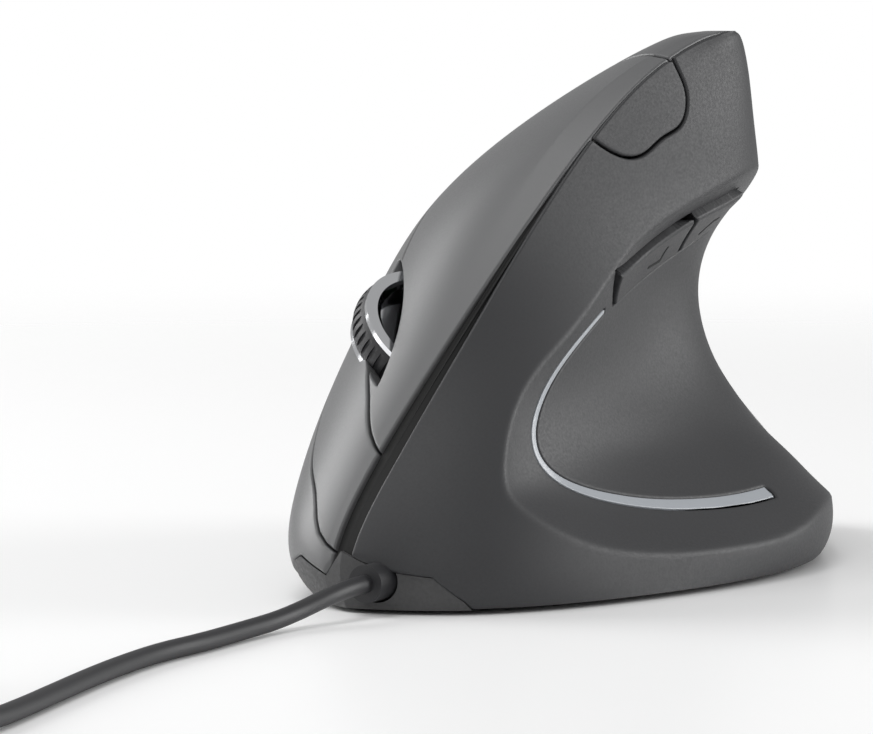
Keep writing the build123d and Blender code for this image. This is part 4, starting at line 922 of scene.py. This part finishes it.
def coil_points(start: Vector) -> list:
    """Points of the coil, layer by layer.

    Args:
        start: Where the run on the floor ends.

    Returns:
        The control points, the last of them where the plug begins.
    """
    step = COIL_PITCH / 2
    widest = COIL_MIDDLE_RADIUS + COIL_HALF_TURNS / 2 * step
    radii = [widest - step * turn for turn in range(COIL_HALF_TURNS + 1)]
    turns = []
    for layer in range(COIL_LAYERS):
        inwards = layer % 2 == 0
        turns += [(radius, 0.0) for radius in (radii[:-1] if inwards else radii[-2::-1])]
        if layer < COIL_LAYERS - 1:
            turns.append((radii[-1] if inwards else widest + step, COIL_PITCH))
    turns.append((widest + COIL_PITCH, 0.0))
    drop = start.z + (COIL_LAYERS - 1) * COIL_PITCH - PLUG_HEIGHT / 2
    turns.append((widest + 3 * step, -drop))
    points = []
    place, heading, side = start.copy(), Vector((0, -1, 0)), Vector((-1, 0, 0))
    for radius, rise in turns:
        centre = place + side * radius
        outside = radius / math.cos(math.pi / POINTS_PER_HALF_TURN / 2)
        for number in range(POINTS_PER_HALF_TURN):
            angle = math.pi * (number + 0.5) / POINTS_PER_HALF_TURN
            climb = rise * (1 - math.cos(angle)) / 2
            points.append(centre - side * (outside * math.cos(angle))
                          + heading * (outside * math.sin(angle)) + Vector((0, 0, climb)))
        place = centre + side * radius + Vector((0, 0, rise))
        heading, side = -heading, -side
    return points + [place + heading * (COIL_TAIL / 2), place + heading * COIL_TAIL]


def build_cord() -> bpy.types.Object:
    """The cord from the strain relief over the floor into its coil."""
    route = [Vector(point) for point in scaled(CORD_ROUTE, (0, 1, 2)) + SHIFT]
    points = route + coil_points(route[-1])
    curve = bpy.data.curves.new("lead", "CURVE")
    curve.dimensions = "3D"
    line = curve.splines.new("NURBS")
    line.points.add(len(points) - 1)
    for target, point in zip(line.points, points):
        target.co = (*point, 1)
    line.order_u = 3
    line.use_endpoint_u = True
    curve.resolution_u = 6
    piece = bpy.data.objects.new("lead", curve)
    bpy.context.scene.collection.objects.link(piece)
    flat = bpy.data.meshes.new_from_object(piece.evaluated_get(bpy.context.evaluated_depsgraph_get()))
    curve.bevel_depth = CORD_RADIUS
    curve.bevel_resolution = 5
    curve.use_fill_caps = True
    dress(piece, Finish.CORD, "base", "cord", "cord_coil")
    return piece


class Studio:
    """Floor, lights, white background and the camera of the photograph."""

    AZIMUTH = math.radians(30)
    PITCH = math.radians(4.944)
    DISTANCE = 650 * MM
    HEIGHT = 84.32 * MM
    LATERAL = -21.499 * MM
    PIXELS_PER_RADIAN = 7.137 * 650
    WIDTH = 873
    DEPTH = 734
    SENSOR = 36.0
    CLIP_START = 0.01
    CLIP_END = 20
    FADE_START = 0.16
    FADE_END = 0.60
    FLOOR_COLOUR = (0.93, 0.93, 0.93, 1)
    FLOOR_ROUGHNESS = 0.32
    WHITE = (1, 1, 1, 1)
    SKY_STRENGTH = 0.42
    AIM = (0, 0, 0.035)

    # Name, place, size and power of each light
    LIGHTS = (
        ("key", (-0.85, -0.10, 0.40), 0.6, 7.0),
        ("front", (0.35, -0.75, 0.45), 0.6, 1.2),
        ("top", (-0.15, -0.20, 0.95), 0.6, 4.0),
        ("side", (0.75, 0.55, 0.25), 0.5, 6.0),
    )

    def camera(self) -> None:
        """Puts the camera where the photograph was taken from."""
        right = Vector((math.cos(self.AZIMUTH), math.sin(self.AZIMUTH), 0))
        back = Vector((math.sin(self.AZIMUTH), -math.cos(self.AZIMUTH), 0))
        made = bpy.data.cameras.new("camera")
        made.sensor_width = self.SENSOR
        made.lens = self.SENSOR * self.PIXELS_PER_RADIAN / self.WIDTH
        made.clip_start = self.CLIP_START
        made.clip_end = self.CLIP_END
        holder = bpy.data.objects.new("camera", made)
        holder.location = back * self.DISTANCE + right * self.LATERAL \
            + Vector((0, 0, self.HEIGHT)) + Vector(SHIFT)
        holder.rotation_euler = (math.pi / 2 - self.PITCH, 0, self.AZIMUTH)
        bpy.context.scene.collection.objects.link(holder)
        scene = bpy.context.scene
        scene.camera = holder
        scene.render.resolution_x = self.WIDTH
        scene.render.resolution_y = self.DEPTH
        scene.render.resolution_percentage = 100
        scene.view_settings.view_transform = "Standard"

    def light(self, name: str, place: tuple, size: float, power: float) -> None:
        """Adds a soft square light that faces the object."""
        made = bpy.data.lights.new(name, "AREA")
        made.size = size
        made.energy = power
        holder = bpy.data.objects.new(name, made)
        holder.location = place
        holder.rotation_euler = (Vector(self.AIM) - Vector(place)).to_track_quat("-Z", "Y").to_euler()
        bpy.context.scene.collection.objects.link(holder)

    def floor(self) -> None:
        """A pale floor that fades into the white background."""
        mesh = bpy.data.meshes.new("floor")
        reach = self.FADE_END
        corners = [(-reach, -reach, 0), (reach, -reach, 0), (reach, reach, 0), (-reach, reach, 0)]
        mesh.from_pydata(corners, [], [(0, 1, 2, 3)])
        piece = bpy.data.objects.new("floor", mesh)
        bpy.context.scene.collection.objects.link(piece)
        made = bpy.data.materials.new("floor")
        made.use_nodes = True
        tree = made.node_tree
        shader = tree.nodes["Principled BSDF"]
        shader.inputs["Base Color"].default_value = self.FLOOR_COLOUR
        shader.inputs["Roughness"].default_value = self.FLOOR_ROUGHNESS
        place = tree.nodes.new("ShaderNodeTexCoord")
        length = tree.nodes.new("ShaderNodeVectorMath")
        length.operation = "LENGTH"
        tree.links.new(place.outputs["Object"], length.inputs[0])
        fade = tree.nodes.new("ShaderNodeMapRange")
        fade.interpolation_type = "SMOOTHSTEP"
        fade.inputs["From Min"].default_value = self.FADE_START
        fade.inputs["From Max"].default_value = self.FADE_END
        fade.inputs["To Min"].default_value = 1.0
        fade.inputs["To Max"].default_value = 0.0
        tree.links.new(length.outputs["Value"], fade.inputs["Value"])
        tree.links.new(fade.outputs["Result"], shader.inputs["Alpha"])
        mesh.materials.append(made)

    def world(self) -> None:
        """A white background for the camera, with softer light from all round."""
        made = bpy.data.worlds.new("world")
        bpy.context.scene.world = made
        made.use_nodes = True
        tree = made.node_tree
        tree.nodes.clear()
        out = tree.nodes.new("ShaderNodeOutputWorld")
        mix = tree.nodes.new("ShaderNodeMixShader")
        rays = tree.nodes.new("ShaderNodeLightPath")
        seen = tree.nodes.new("ShaderNodeBackground")
        seen.inputs["Color"].default_value = self.WHITE
        seen.inputs["Strength"].default_value = 1.0
        around = tree.nodes.new("ShaderNodeBackground")
        around.inputs["Color"].default_value = self.WHITE
        around.inputs["Strength"].default_value = self.SKY_STRENGTH
        tree.links.new(rays.outputs["Is Camera Ray"], mix.inputs[0])
        tree.links.new(around.outputs[0], mix.inputs[1])
        tree.links.new(seen.outputs[0], mix.inputs[2])
        tree.links.new(mix.outputs[0], out.inputs["Surface"])

    def build(self) -> None:
        """Sets up everything round the object."""
        self.camera()
        self.floor()
        self.world()
        for name, place, size, power in self.LIGHTS:
            self.light(name, place, size, power)


def main() -> None:
    """Builds the scene."""
    logging.basicConfig(level=logging.INFO)
    dress_nodes()
    Studio().build()
    build_cord()
    mouse = Mouse()
    mouse.build_right()
    mouse.build_left()
    mouse.build_thumb_keys()


if __name__ == "__main__":
    main()
